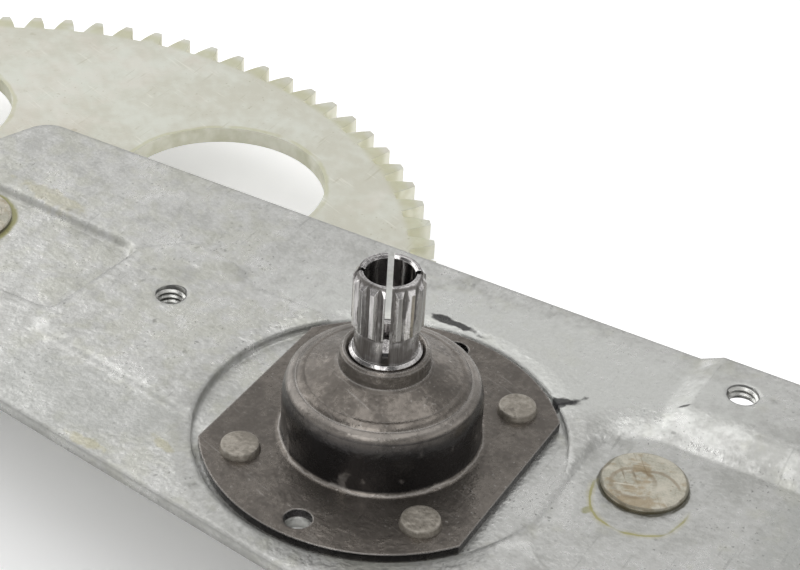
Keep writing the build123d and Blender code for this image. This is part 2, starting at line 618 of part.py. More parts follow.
    # finger under the drive disc that pushes the spring tangs
    half_gap = (360 - FINGER_SPAN) / 2
    wedge_r = 3 * DRIVE_DISC_R
    with BuildSketch(Plane.XY.offset(CATCH_Z)):
        Circle(DRIVE_DISC_R)
        Circle(FINGER_INNER_R, mode=Mode.SUBTRACT)
        with BuildLine():
            Polyline(
                (0, 0),
                polar(wedge_r, 90 - half_gap),
                polar(wedge_r, 90),
                polar(wedge_r, 90 + half_gap),
                close=True,
            )
        make_face(mode=Mode.SUBTRACT)
    extrude(amount=DISC_UNDER_Z - CATCH_Z)

crank_shaft.part.label = "crank_shaft"
export_step(crank_shaft.part, "parts/crank_shaft.step")

# ================================================================ brake spring
SPRING_OUTER_R = CAVITY_R - AIR
SPRING_R = SPRING_OUTER_R - WIRE / 2
SPRING_FOOT_Z = SEAT_Z + SPRING_LIFT + WIRE / 2
SPRING_TURNS = SPRING_COILS - 2 * TANG_ANGLE / 360
SPRING_HEIGHT = SPRING_PITCH * SPRING_TURNS
with BuildPart() as brake_spring:
    with BuildLine() as coil_path:
        Helix(pitch=SPRING_PITCH, height=SPRING_HEIGHT, radius=SPRING_R)
    with BuildSketch(Plane(origin=(SPRING_R, 0, 0), x_dir=(1, 0, 0), z_dir=(0, 1, 0))):
        Rectangle(WIRE, WIRE)
    sweep(is_frenet=True)
    tang_x = SPRING_R + WIRE / 2 - TANG_SINK - TANG_LENGTH / 2
    with Locations((tang_x, WIRE / 2, 0)):
        Box(TANG_LENGTH, WIRE, WIRE)
    end_angle = 360 * SPRING_TURNS
    with Locations(
        Location((0, 0, SPRING_HEIGHT), (0, 0, 1), end_angle) * Location((tang_x, -WIRE / 2, 0))
    ):
        Box(TANG_LENGTH, WIRE, WIRE)

brake_spring_part = Location((0, 0, SPRING_FOOT_Z), (0, 0, 1), 90 + TANG_ANGLE) * brake_spring.part
brake_spring_part.label = "brake_spring"
export_step(brake_spring_part, "parts/brake_spring.step")

# ================================================================ pinion with its core
MESH_ANGLE = degrees(atan2(-MAIN_PIVOT[1], -MAIN_PIVOT[0]))
NEAREST_TOOTH = TOOTH_PHASE + TOOTH_STEP * round((MESH_ANGLE - TOOTH_PHASE) / TOOTH_STEP)
GEAR_RATIO = SECTOR_TEETH_FULL / PINION_TEETH
PINION_PHASE = MESH_ANGLE + 180 - (NEAREST_TOOTH - MESH_ANGLE) * GEAR_RATIO + 180 / PINION_TEETH
pinion_flank = tooth_points(PINION_PITCH_R, PINION_ROOT_R, PINION_TIP_R, SHIFT)
with BuildSketch() as pinion_tooth:
    draw_tooth(pinion_flank)
with BuildPart() as pinion_gear:
    with BuildSketch(Plane.XY.offset(PINION_UNDER_Z)):
        Circle(PINION_ROOT_R)
        with PolarLocations(0, PINION_TEETH, start_angle=PINION_PHASE):
            add(pinion_tooth.sketch)
    extrude(amount=PINION_TOP_Z - PINION_UNDER_Z)
    with BuildSketch(Plane.XY.offset(PINION_TOP_Z)):
        Circle(CORE_R)
    extrude(amount=CORE_TOP_Z - PINION_TOP_Z)
    with BuildSketch(Plane.XY.offset(CATCH_Z)):
        Circle(LUG_R)
        with BuildLine():
            Polyline(
                (0, 0),
                polar(2 * LUG_R, 90 - LUG_SPAN / 2),
                polar(2 * LUG_R, 90 + LUG_SPAN / 2),
                close=True,
            )
        make_face(mode=Mode.INTERSECT)
    extrude(amount=CORE_TOP_Z - CATCH_Z)
    with BuildSketch(Plane.XY.offset(PINION_UNDER_Z - OVERCUT)):
        Circle(SPIGOT_R + SEATING)
    extrude(amount=CORE_TOP_Z - PINION_UNDER_Z + 2 * OVERCUT, mode=Mode.SUBTRACT)

pinion_gear.part.label = "pinion_gear"
export_step(pinion_gear.part, "parts/pinion_gear.step")

with BuildPart() as pinion_washer:
    with BuildSketch(Plane.XY.offset(RING_TOP_Z)):
        Circle(PINION_WASHER_R)
        Circle(SPIGOT_R + SEATING, mode=Mode.SUBTRACT)
    extrude(amount=PINION_WASHER_THICK)

pinion_washer.part.label = "pinion_washer"
export_step(pinion_washer.part, "parts/pinion_washer.step")

with BuildPart() as pinion_ring:
    with BuildSketch(Plane.XY.offset(RING_UNDER_Z)):
        Circle(PINION_RING_R)
        Circle(SPIGOT_R - SPIGOT_GROOVE + SEATING, mode=Mode.SUBTRACT)
        with Locations((PINION_RING_R - RING_GAP_SHIFT, 0)):
            Rectangle(*PINION_RING_GAP, mode=Mode.SUBTRACT)
    extrude(amount=PINION_RING_THICK)

pinion_ring.part.label = "pinion_ring"
export_step(pinion_ring.part, "parts/pinion_ring.step")

# ================================================================ pivot studs and washers
with BuildPart() as pivot_studs:
    for pivot, head_r, foot_z in (
        (MAIN_PIVOT, MAIN_HEAD_R, MAIN_FOOT_Z),
        (AUX_PIVOT, AUX_HEAD_R, AUX_FOOT_Z),
    ):
        with BuildSketch(Plane.XY.offset(PANEL_Z)):
            with Locations(pivot):
                Circle(head_r)
        extrude(amount=STUD_HEAD_HEIGHT)
        with BuildSketch(Plane.XY.offset(foot_z)):
            with Locations(pivot):
                Circle(PIVOT_R)
        extrude(amount=PANEL_Z - foot_z)
        with BuildSketch(Plane.XY.offset(foot_z)):
            with Locations(pivot):
                Circle(STUD_FOOT_R)
        extrude(amount=-STUD_FOOT_HEIGHT, taper=STUD_FOOT_SLOPE)
    chamfer(pivot_studs.faces().sort_by(Axis.Z)[-2:].edges(), STUD_HEAD_CHAMFER)

pivot_studs.part.label = "pivot_studs"
export_step(pivot_studs.part, "parts/pivot_studs.step")

with BuildPart() as thrust_washer:
    with BuildSketch(Plane.XY.offset(GEAR_TOP_Z + AIR)):
        with Locations(MAIN_PIVOT):
            Circle(PIVOT_WASHER_R)
            Circle(PIVOT_R + SEATING, mode=Mode.SUBTRACT)
    extrude(amount=THRUST_THICK)

thrust_washer.part.label = "thrust_washer"
export_step(thrust_washer.part, "parts/thrust_washer.step")

with BuildPart() as auxiliary_spacer:
    with BuildSketch(Plane.XY.offset(AUX_ARM_TOP_Z + AIR)):
        with Locations(AUX_PIVOT):
            Circle(SPACER_R)
            Circle(PIVOT_R + SEATING, mode=Mode.SUBTRACT)
    extrude(amount=PANEL_UNDER_Z - AUX_ARM_TOP_Z - AIR)

auxiliary_spacer.part.label = "auxiliary_spacer"
export_step(auxiliary_spacer.part, "parts/auxiliary_spacer.step")

with BuildPart() as pivot_washers:
    for pivot, foot_z in ((MAIN_PIVOT, MAIN_FOOT_Z), (AUX_PIVOT, AUX_FOOT_Z)):
        with BuildSketch(Plane.XY.offset(foot_z)):
            with Locations(pivot):
                Circle(PIVOT_WASHER_R)
                Circle(PIVOT_R + SEATING, mode=Mode.SUBTRACT)
        extrude(amount=WASHER_THICK)

pivot_washers.part.label = "pivot_washers"
export_step(pivot_washers.part, "parts/pivot_washers.step")

# ================================================================ sector gear
FIRST_ANGLE = TOOTH_PHASE + TOOTH_STEP * FIRST_TOOTH
LAST_ANGLE = FIRST_ANGLE + TOOTH_STEP * (SECTOR_TOOTH_COUNT - 1)
sector_flank = tooth_points(SECTOR_PITCH_R, SECTOR_ROOT_R, SECTOR_TIP_R, -SHIFT)
with BuildSketch() as sector_tooth:
    draw_tooth(sector_flank)
with BuildSketch() as sector_outline:
    rim_start = FIRST_ANGLE - SECTOR_END_MARGIN
    rim_end = LAST_ANGLE + SECTOR_END_MARGIN
    with BuildLine():
        start_point = polar(SECTOR_ROOT_R, rim_start)
        middle_point = polar(SECTOR_ROOT_R, (rim_start + rim_end) / 2)
        end_point = polar(SECTOR_ROOT_R, rim_end)
        ThreePointArc(start_point, middle_point, end_point)
        hub_end = polar(SECTOR_HUB_R, rim_end + SECTOR_HUB_SPREAD)
        hub_start = polar(SECTOR_HUB_R, rim_start - SECTOR_HUB_SPREAD)
        Polyline(end_point, hub_end, hub_start, start_point)
    make_face()
    Circle(SECTOR_HUB_R)
    with PolarLocations(
        0, SECTOR_TOOTH_COUNT, start_angle=FIRST_ANGLE, angular_range=TOOTH_STEP * SECTOR_TOOTH_COUNT
    ):
        add(sector_tooth.sketch)
    Circle(PIVOT_R + RUNNING, mode=Mode.SUBTRACT)
    with Locations(*[polar(HOLE_DISTANCE, angle) for angle in HOLE_ANGLES]):
        Circle(HOLE_R, mode=Mode.SUBTRACT)
    with Locations(*[polar(ARM_RIVET_CIRCLE_R, ARM_ANGLE + angle) for angle in ARM_RIVET_ANGLES]):
        Circle(ARM_RIVET_R + SEATING, mode=Mode.SUBTRACT)
with BuildPart() as sector_gear:
    with BuildSketch(Plane.XY.offset(GEAR_UNDER_Z)):
        with Locations(MAIN_PIVOT):
            add(sector_outline.sketch)
    extrude(amount=GEAR_THICK)

sector_gear.part.label = "sector_gear"
export_step(sector_gear.part, "parts/sector_gear.step")

# ================================================================ arms
BEAD_MIDDLE = (BEAD_START + BEAD_END) / 2
BEAD_LENGTH = BEAD_END - BEAD_START
with BuildPart() as main_arm:
    with BuildSketch(Plane.XY.offset(MAIN_ARM_UNDER_Z)):
        Circle(ARM_ROOT_R)
        with BuildLine():
            Polyline(
                polar(ARM_ROOT_R, ARM_ROOT_SPREAD),
                (ARM_NECK, ARM_NECK_HALF_WIDTH),
                (ARM_LENGTH, ARM_TIP_R),
                (ARM_LENGTH, -ARM_TIP_R),
                (ARM_NECK, -ARM_NECK_HALF_WIDTH),
                polar(ARM_ROOT_R, -ARM_ROOT_SPREAD),
                close=True,
            )
        make_face()
        with Locations((ARM_LENGTH, 0)):
            Circle(ARM_TIP_R)
        Circle(PIVOT_R + RUNNING, mode=Mode.SUBTRACT)
        with Locations((ARM_LENGTH, 0)):
            Circle(PIN_R + SEATING, mode=Mode.SUBTRACT)
        with Locations(*[polar(ARM_RIVET_CIRCLE_R, angle) for angle in ARM_RIVET_ANGLES]):
            Circle(ARM_RIVET_R + SEATING, mode=Mode.SUBTRACT)
    extrude(amount=ARM_THICK)
    with BuildSketch(Plane.XY.offset(MAIN_ARM_UNDER_Z)):
        with Locations((BEAD_MIDDLE, 0)):
            SlotOverall(BEAD_LENGTH, 2 * BEAD_HALF_WIDTH)
    extrude(amount=-BEAD_DEPTH, taper=BEAD_SLOPE)
    with BuildSketch(Plane.XY.offset(MAIN_ARM_UNDER_Z + ARM_THICK)):
        with Locations((BEAD_MIDDLE, 0)):
            SlotOverall(BEAD_LENGTH - BEAD_SHRINK, 2 * BEAD_HALF_WIDTH - BEAD_SHRINK)
    extrude(amount=-BEAD_DEPTH, taper=BEAD_SLOPE, mode=Mode.SUBTRACT)

main_arm_part = Location((*MAIN_PIVOT, 0), (0, 0, 1), ARM_ANGLE) * main_arm.part
main_arm_part.label = "main_arm"
export_step(main_arm_part, "parts/main_arm.step")

with BuildPart() as auxiliary_arm:
    with BuildSketch(Plane.XY.offset(AUX_ARM_UNDER_Z)):
        Circle(AUX_ROOT_R)
        with BuildLine():
            Polyline(
                (0, AUX_HALF_WIDTH),
                (ARM_LENGTH, AUX_TIP_R),
                (ARM_LENGTH, -AUX_TIP_R),
                (0, -AUX_HALF_WIDTH),
                close=True,
            )
        make_face()
        with Locations((ARM_LENGTH, 0)):
            Circle(AUX_TIP_R)
        Circle(PIVOT_R + RUNNING, mode=Mode.SUBTRACT)
        with Locations((ARM_LENGTH, 0)):
            Circle(PIN_R + SEATING, mode=Mode.SUBTRACT)
    extrude(amount=ARM_THICK)
    with BuildSketch(Plane.XY.offset(AUX_ARM_UNDER_Z)):
        with Locations((BEAD_MIDDLE, 0)):
            SlotOverall(BEAD_LENGTH, 2 * BEAD_HALF_WIDTH)
    extrude(amount=-BEAD_DEPTH, taper=BEAD_SLOPE)
    with BuildSketch(Plane.XY.offset(AUX_ARM_UNDER_Z + ARM_THICK)):
        with Locations((BEAD_MIDDLE, 0)):
            SlotOverall(BEAD_LENGTH - BEAD_SHRINK, 2 * BEAD_HALF_WIDTH - BEAD_SHRINK)
    extrude(amount=-BEAD_DEPTH, taper=BEAD_SLOPE, mode=Mode.SUBTRACT)

auxiliary_arm_part = Location((*AUX_PIVOT, 0), (0, 0, 1), ARM_ANGLE) * auxiliary_arm.part
auxiliary_arm_part.label = "auxiliary_arm"
export_step(auxiliary_arm_part, "parts/auxiliary_arm.step")

# ================================================================ rivets of the main arm
with BuildPart() as arm_rivets:
    rivet_points = [polar(ARM_RIVET_CIRCLE_R, ARM_ANGLE + angle, MAIN_PIVOT) for angle in ARM_RIVET_ANGLES]
    with BuildSketch(Plane.XY.offset(MAIN_ARM_UNDER_Z)):
        with Locations(*rivet_points):
            Circle(ARM_RIVET_R)
    extrude(amount=GEAR_TOP_Z - MAIN_ARM_UNDER_Z)
    head_under_z = MAIN_ARM_UNDER_Z - ARM_RIVET_HEAD_HEIGHT
    head_under_r = ARM_RIVET_HEAD_R - ARM_RIVET_HEAD_RUN
    for point in rivet_points:
        press_round(point, ((MAIN_ARM_UNDER_Z, ARM_RIVET_HEAD_R), (head_under_z, head_under_r)))

arm_rivets.part.label = "arm_rivets"
export_step(arm_rivets.part, "parts/arm_rivets.step")

# ================================================================ rail pins, washers and rings
MAIN_TIP = polar(ARM_LENGTH, ARM_ANGLE, MAIN_PIVOT)
AUX_TIP = polar(ARM_LENGTH, ARM_ANGLE, AUX_PIVOT)
PIN_WASHER_TOP_Z = BRACKET_UNDER_Z - BUSH_FLANGE_THICK - AIR
PIN_RING_TOP_Z = PIN_WASHER_TOP_Z - WASHER_THICK
PIN_RING_UNDER_Z = PIN_RING_TOP_Z - PIN_RING_THICK
PIN_FOOT_Z = PIN_RING_UNDER_Z - PIN_END


def build_rail_pin(name, tip, arm_top):
    """Pin riveted through an arm tip, with a head above and a ring groove below."""
    head_top = arm_top + PIN_HEAD_HEIGHT
    with BuildPart() as pin:
        with BuildSketch(Plane.XZ):
            with BuildLine():
                Polyline(
                    (0, head_top),
                    (PIN_HEAD_R - PIN_HEAD_CHAMFER, head_top),
                    (PIN_HEAD_R, head_top - PIN_HEAD_CHAMFER),
                    (PIN_HEAD_R, arm_top),
                    (PIN_R, arm_top),
                    (PIN_R, PIN_RING_TOP_Z),
                    (PIN_R - PIN_GROOVE, PIN_RING_TOP_Z),
                    (PIN_R - PIN_GROOVE, PIN_RING_UNDER_Z),
                    (PIN_R, PIN_RING_UNDER_Z),
                    (PIN_R, PIN_FOOT_Z + PIN_END_CHAMFER),
                    (PIN_R - PIN_END_CHAMFER, PIN_FOOT_Z),
                    (0, PIN_FOOT_Z),
                    close=True,
                )
            make_face()
        revolve(axis=Axis.Z)
    placed = Location((*tip, 0)) * pin.part
    placed.label = name
    export_step(placed, f"parts/{name}.step")


def build_rail_washer(name, tip):
    """Flat washer on the rail pin under the bracket bush."""
    with BuildPart() as washer:
        with BuildSketch(Plane.XY.offset(PIN_RING_TOP_Z)):
            Circle(BUSH_FLANGE_R)
            Circle(PIN_R + SEATING, mode=Mode.SUBTRACT)
        extrude(amount=WASHER_THICK)
    placed = Location((*tip, 0)) * washer.part
    placed.label = name
    export_step(placed, f"parts/{name}.step")


def build_rail_ring(name, tip):
    """Open retaining ring in the groove of the rail pin."""
    with BuildPart() as ring:
        with BuildSketch(Plane.XY.offset(PIN_RING_UNDER_Z)):
            Circle(PIN_RING_R)
            Circle(PIN_R - PIN_GROOVE + SEATING, mode=Mode.SUBTRACT)
            with Locations((PIN_RING_R - RING_GAP_SHIFT, 0)):
                Rectangle(*PIN_RING_GAP, mode=Mode.SUBTRACT)
        extrude(amount=PIN_RING_THICK)
    placed = Location((*tip, 0)) * ring.part
    placed.label = name
    export_step(placed, f"parts/{name}.step")


build_rail_pin("main_rail_pin", MAIN_TIP, GEAR_UNDER_Z)
build_rail_washer("main_rail_washer", MAIN_TIP)
build_rail_ring("main_rail_ring", MAIN_TIP)
build_rail_pin("auxiliary_rail_pin", AUX_TIP, AUX_ARM_TOP_Z)
build_rail_washer("auxiliary_rail_washer", AUX_TIP)
build_rail_ring("auxiliary_rail_ring", AUX_TIP)

# ================================================================ lift bracket and its bushes
BUSH_R = PIN_R + RUNNING + BUSH_WALL
BRACKET_CENTRE = ((MAIN_TIP[0] + AUX_TIP[0]) / 2, MAIN_TIP[1])
BRACKET_SIZE = (PIVOT_SPAN + 2 * BRACKET_REACH, 2 * BRACKET_HALF_WIDTH)
with BuildPart() as lift_bracket:
    with BuildSketch(Plane.XY.offset(BRACKET_UNDER_Z)):
        with Locations(BRACKET_CENTRE):
            RectangleRounded(*BRACKET_SIZE, BRACKET_CORNER_R)
            with GridLocations(BRACKET_SLOT_PITCH, 0, 2, 1):
                SlotOverall(BRACKET_SLOT_LENGTH, 2 * BRACKET_SLOT_R, mode=Mode.SUBTRACT)
            RectangleRounded(*BRACKET_WINDOW, BRACKET_WINDOW_CORNER_R, mode=Mode.SUBTRACT)
        with Locations(MAIN_TIP, AUX_TIP):
            Circle(BUSH_R, mode=Mode.SUBTRACT)
    extrude(amount=BRACKET_THICK)
    # folded lips along both long edges
    with BuildSketch(Plane.XY.offset(BRACKET_UNDER_Z)):
        with Locations(BRACKET_CENTRE):
            with GridLocations(0, 2 * BRACKET_HALF_WIDTH - LIP_THICK, 1, 2):
                Rectangle(PIVOT_SPAN - 2 * LIP_INSET, LIP_THICK)
    extrude(amount=-LIP_HEIGHT)

lift_bracket.part.label = "lift_bracket"
export_step(lift_bracket.part, "parts/lift_bracket.step")

with BuildPart() as bracket_bushes:
    with BuildSketch(Plane.XY.offset(BRACKET_UNDER_Z)):
        with Locations(MAIN_TIP, AUX_TIP):
            Circle(BUSH_R - SEATING)
            Circle(PIN_R + RUNNING, mode=Mode.SUBTRACT)
    extrude(amount=BRACKET_THICK)
    with BuildSketch(Plane.XY.offset(BRACKET_UNDER_Z)):
        with Locations(MAIN_TIP, AUX_TIP):
            Circle(BUSH_FLANGE_R)
            Circle(PIN_R + RUNNING, mode=Mode.SUBTRACT)
    extrude(amount=-BUSH_FLANGE_THICK)

bracket_bushes.part.label = "bracket_bushes"
export_step(bracket_bushes.part, "parts/bracket_bushes.step")
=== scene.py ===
"""Studio scene of a hand crank window regulator lying flat on a pale floor.

Finishes, thread crests and grease are laid on the frame's own pieces.  Metres.
"""

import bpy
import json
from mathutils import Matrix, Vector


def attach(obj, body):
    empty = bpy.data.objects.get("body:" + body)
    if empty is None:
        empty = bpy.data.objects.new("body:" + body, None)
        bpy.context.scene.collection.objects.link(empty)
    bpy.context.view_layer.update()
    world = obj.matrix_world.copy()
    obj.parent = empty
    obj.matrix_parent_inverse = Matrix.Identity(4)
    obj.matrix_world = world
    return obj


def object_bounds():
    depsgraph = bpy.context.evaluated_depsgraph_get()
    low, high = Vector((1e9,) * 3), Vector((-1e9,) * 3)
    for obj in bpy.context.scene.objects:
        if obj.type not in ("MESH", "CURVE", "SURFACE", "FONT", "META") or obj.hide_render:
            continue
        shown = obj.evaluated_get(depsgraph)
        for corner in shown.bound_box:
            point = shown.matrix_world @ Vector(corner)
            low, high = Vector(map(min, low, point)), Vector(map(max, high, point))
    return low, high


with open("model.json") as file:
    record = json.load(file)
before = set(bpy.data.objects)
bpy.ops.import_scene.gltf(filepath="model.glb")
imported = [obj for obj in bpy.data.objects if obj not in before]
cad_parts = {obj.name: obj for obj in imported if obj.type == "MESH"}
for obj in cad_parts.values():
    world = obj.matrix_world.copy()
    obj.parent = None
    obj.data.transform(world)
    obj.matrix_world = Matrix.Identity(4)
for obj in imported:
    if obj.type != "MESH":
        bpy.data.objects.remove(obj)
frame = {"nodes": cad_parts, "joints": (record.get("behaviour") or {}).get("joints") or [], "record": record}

import json
import logging
from dataclasses import dataclass
from enum import Enum
from math import cos, pi, radians, sin
from typing import Callable, Dict, List, Optional, Sequence, Tuple, Union

import bpy
from mathutils import Vector

SOLID_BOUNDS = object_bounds()
LOG = logging.getLogger("window_regulator")
Point = Tuple[float, float, float]
Colour = Tuple[float, float, float]
Socket = bpy.types.NodeSocket
Setting = Union[float, Tuple[float, ...], Socket]
MM = 0.001
RIGHT_HEAD_RADIUS = 6.6 * MM


class Effect(Enum):
    """Names of the shared shader effects."""

    MOTTLE = "fx_cloudy_mottle"
    SPECKS = "fx_fine_specks"
    SCRATCHES = "fx_fine_scratches"
    SOFT_EDGE = "fx_soft_edge"
    SPOT = "fx_spot"
    RING = "fx_ring"
    GRAIN = "fx_surface_grain"
    SIDE = "fx_side_distance"
    UPRIGHT = "fx_upright_faces"


class Slot(Enum):
    """Material slots of the record."""

    ZINC = "zinc_plate"
    DARK = "dark_steel"
    RIVET = "rivet_steel"
    BRIGHT = "bright_steel"
    SPRING = "spring_steel"
    CHROMATE = "chromate_steel"
    STUD = "stud_steel"
    BUSH = "bush_plastic"


class Canvas:
    """Adds and links nodes in one shader tree."""

    STEP_ACROSS = 220
    STEP_DOWN = 260
    PER_ROW = 8
    MIX_COLOURS = (6, 7)
    MIX_RESULT = 2

    def __init__(self, tree: bpy.types.NodeTree) -> None:
        """Keeps the tree.

        Args:
            tree: the material's or group's node tree.
        """
        self.tree = tree
        self.count = 0

    def add(
        self, kind: str, inputs: Optional[Dict[Union[str, int], Setting]] = None, **settings: object
    ) -> bpy.types.Node:
        """Adds a node.

        Args:
            kind: the node's type name.
            inputs: values or sockets for its inputs, by name or index.
            **settings: properties of the node itself.

        Returns:
            The new node.
        """
        node = self.tree.nodes.new(kind)
        row, column = divmod(self.count, self.PER_ROW)
        node.location = (self.STEP_ACROSS * column, -self.STEP_DOWN * row)
        self.count += 1
        for name, value in settings.items():
            setattr(node, name, value)
        for key, value in (inputs or {}).items():
            self.feed(node.inputs[key], value)
        return node

    def feed(self, socket: Socket, value: Setting) -> None:
        """Links or sets one input.

        Args:
            socket: the input.
            value: a socket to link, or a constant.
        """
        if isinstance(value, bpy.types.NodeSocket):
            self.tree.links.new(value, socket)
        else:
            socket.default_value = value

    def maths(self, operation: str, *values: Setting, clamp: bool = False) -> Socket:
        """Adds a maths node and returns its result.

        Args:
            operation: the operation's name.
            *values: its operands.
            clamp: whether the result is kept between 0 and 1.

        Returns:
            The result socket.
        """
        inputs = dict(enumerate(values))
        return self.add("ShaderNodeMath", inputs, operation=operation, use_clamp=clamp).outputs[0]

    def vector(self, operation: str, *values: Setting) -> bpy.types.Node:
        """Adds a vector maths node.

        Args:
            operation: the operation's name.
            *values: its operands.

        Returns:
            The node, since some operations give a value and others a vector.
        """
        return self.add("ShaderNodeVectorMath", dict(enumerate(values)), operation=operation)

    def length(self, offset: Socket) -> Socket:
        """Adds the length of an offset.

        Args:
            offset: the offset.

        Returns:
            Its length.
        """
        return self.vector("LENGTH", offset).outputs["Value"]

    def flat_offset(self, place: Socket, centre: Setting) -> Socket:
        """Adds the level offset from a vertical axis.

        Args:
            place: position on the piece.
            centre: a point on the axis.

        Returns:
            The offset, without its height.
        """
        shifted = self.vector("SUBTRACT", place, centre)
        return self.vector("MULTIPLY", shifted.outputs[0], (1.0, 1.0, 0.0)).outputs[0]

    def noise(
        self, place: Socket, scale: Setting, detail: float, distortion: float = 0.0
    ) -> bpy.types.Node:
        """Adds a noise texture.

        Args:
            place: position on the piece.
            scale: waves in a metre.
            detail: how many finer layers it has.
            distortion: how far it is warped.

        Returns:
            The node, whose first output is the value.
        """
        inputs = {"Vector": place, "Scale": scale, "Detail": detail, "Distortion": distortion}
        return self.add("ShaderNodeTexNoise", inputs)

    def remap(
        self, value: Socket, low: float, high: float, to_low: float = 0.0, to_high: float = 1.0
    ) -> Socket:
        """Maps a range smoothly onto another, clamped.

        Args:
            value: the input value.
            low: start of its range.
            high: end of its range.
            to_low: result at the start.
            to_high: result at the end.

        Returns:
            The mapped value.
        """
        inputs = {"Value": value, "From Min": low, "From Max": high, "To Min": to_low, "To Max": to_high}
        return self.add("ShaderNodeMapRange", inputs, interpolation_type="SMOOTHSTEP").outputs[0]

    def mix(self, factor: Setting, first: Setting, second: Setting) -> Socket:
        """Mixes two colours.

        Args:
            factor: share of the second.
            first: colour at factor 0.
            second: colour at factor 1.

        Returns:
            The mixed colour.
        """
        node = self.add("ShaderNodeMix", data_type="RGBA")
        self.feed(node.inputs["Factor"], factor)
        for index, colour in zip(self.MIX_COLOURS, (first, second)):
            linked = isinstance(colour, bpy.types.NodeSocket)
            self.feed(node.inputs[index], colour if linked else (*colour, 1.0))
        return node.outputs[self.MIX_RESULT]

    def effect(self, effect: Effect, inputs: Dict[str, Setting]) -> bpy.types.Node:
        """Adds a shared effect.

        Args:
            effect: which one.
            inputs: its input values.

        Returns:
            The group node.
        """
        node = self.add("ShaderNodeGroup")
        node.node_tree = EffectLibrary.get(effect)
        for key, value in inputs.items():
            self.feed(node.inputs[key], value)
        return node


@dataclass(frozen=True)
class SocketPlan:
    """One socket on a node group's interface."""

    name: str
    kind: str = "NodeSocketFloat"
    default: Union[float, Tuple[float, ...], None] = None


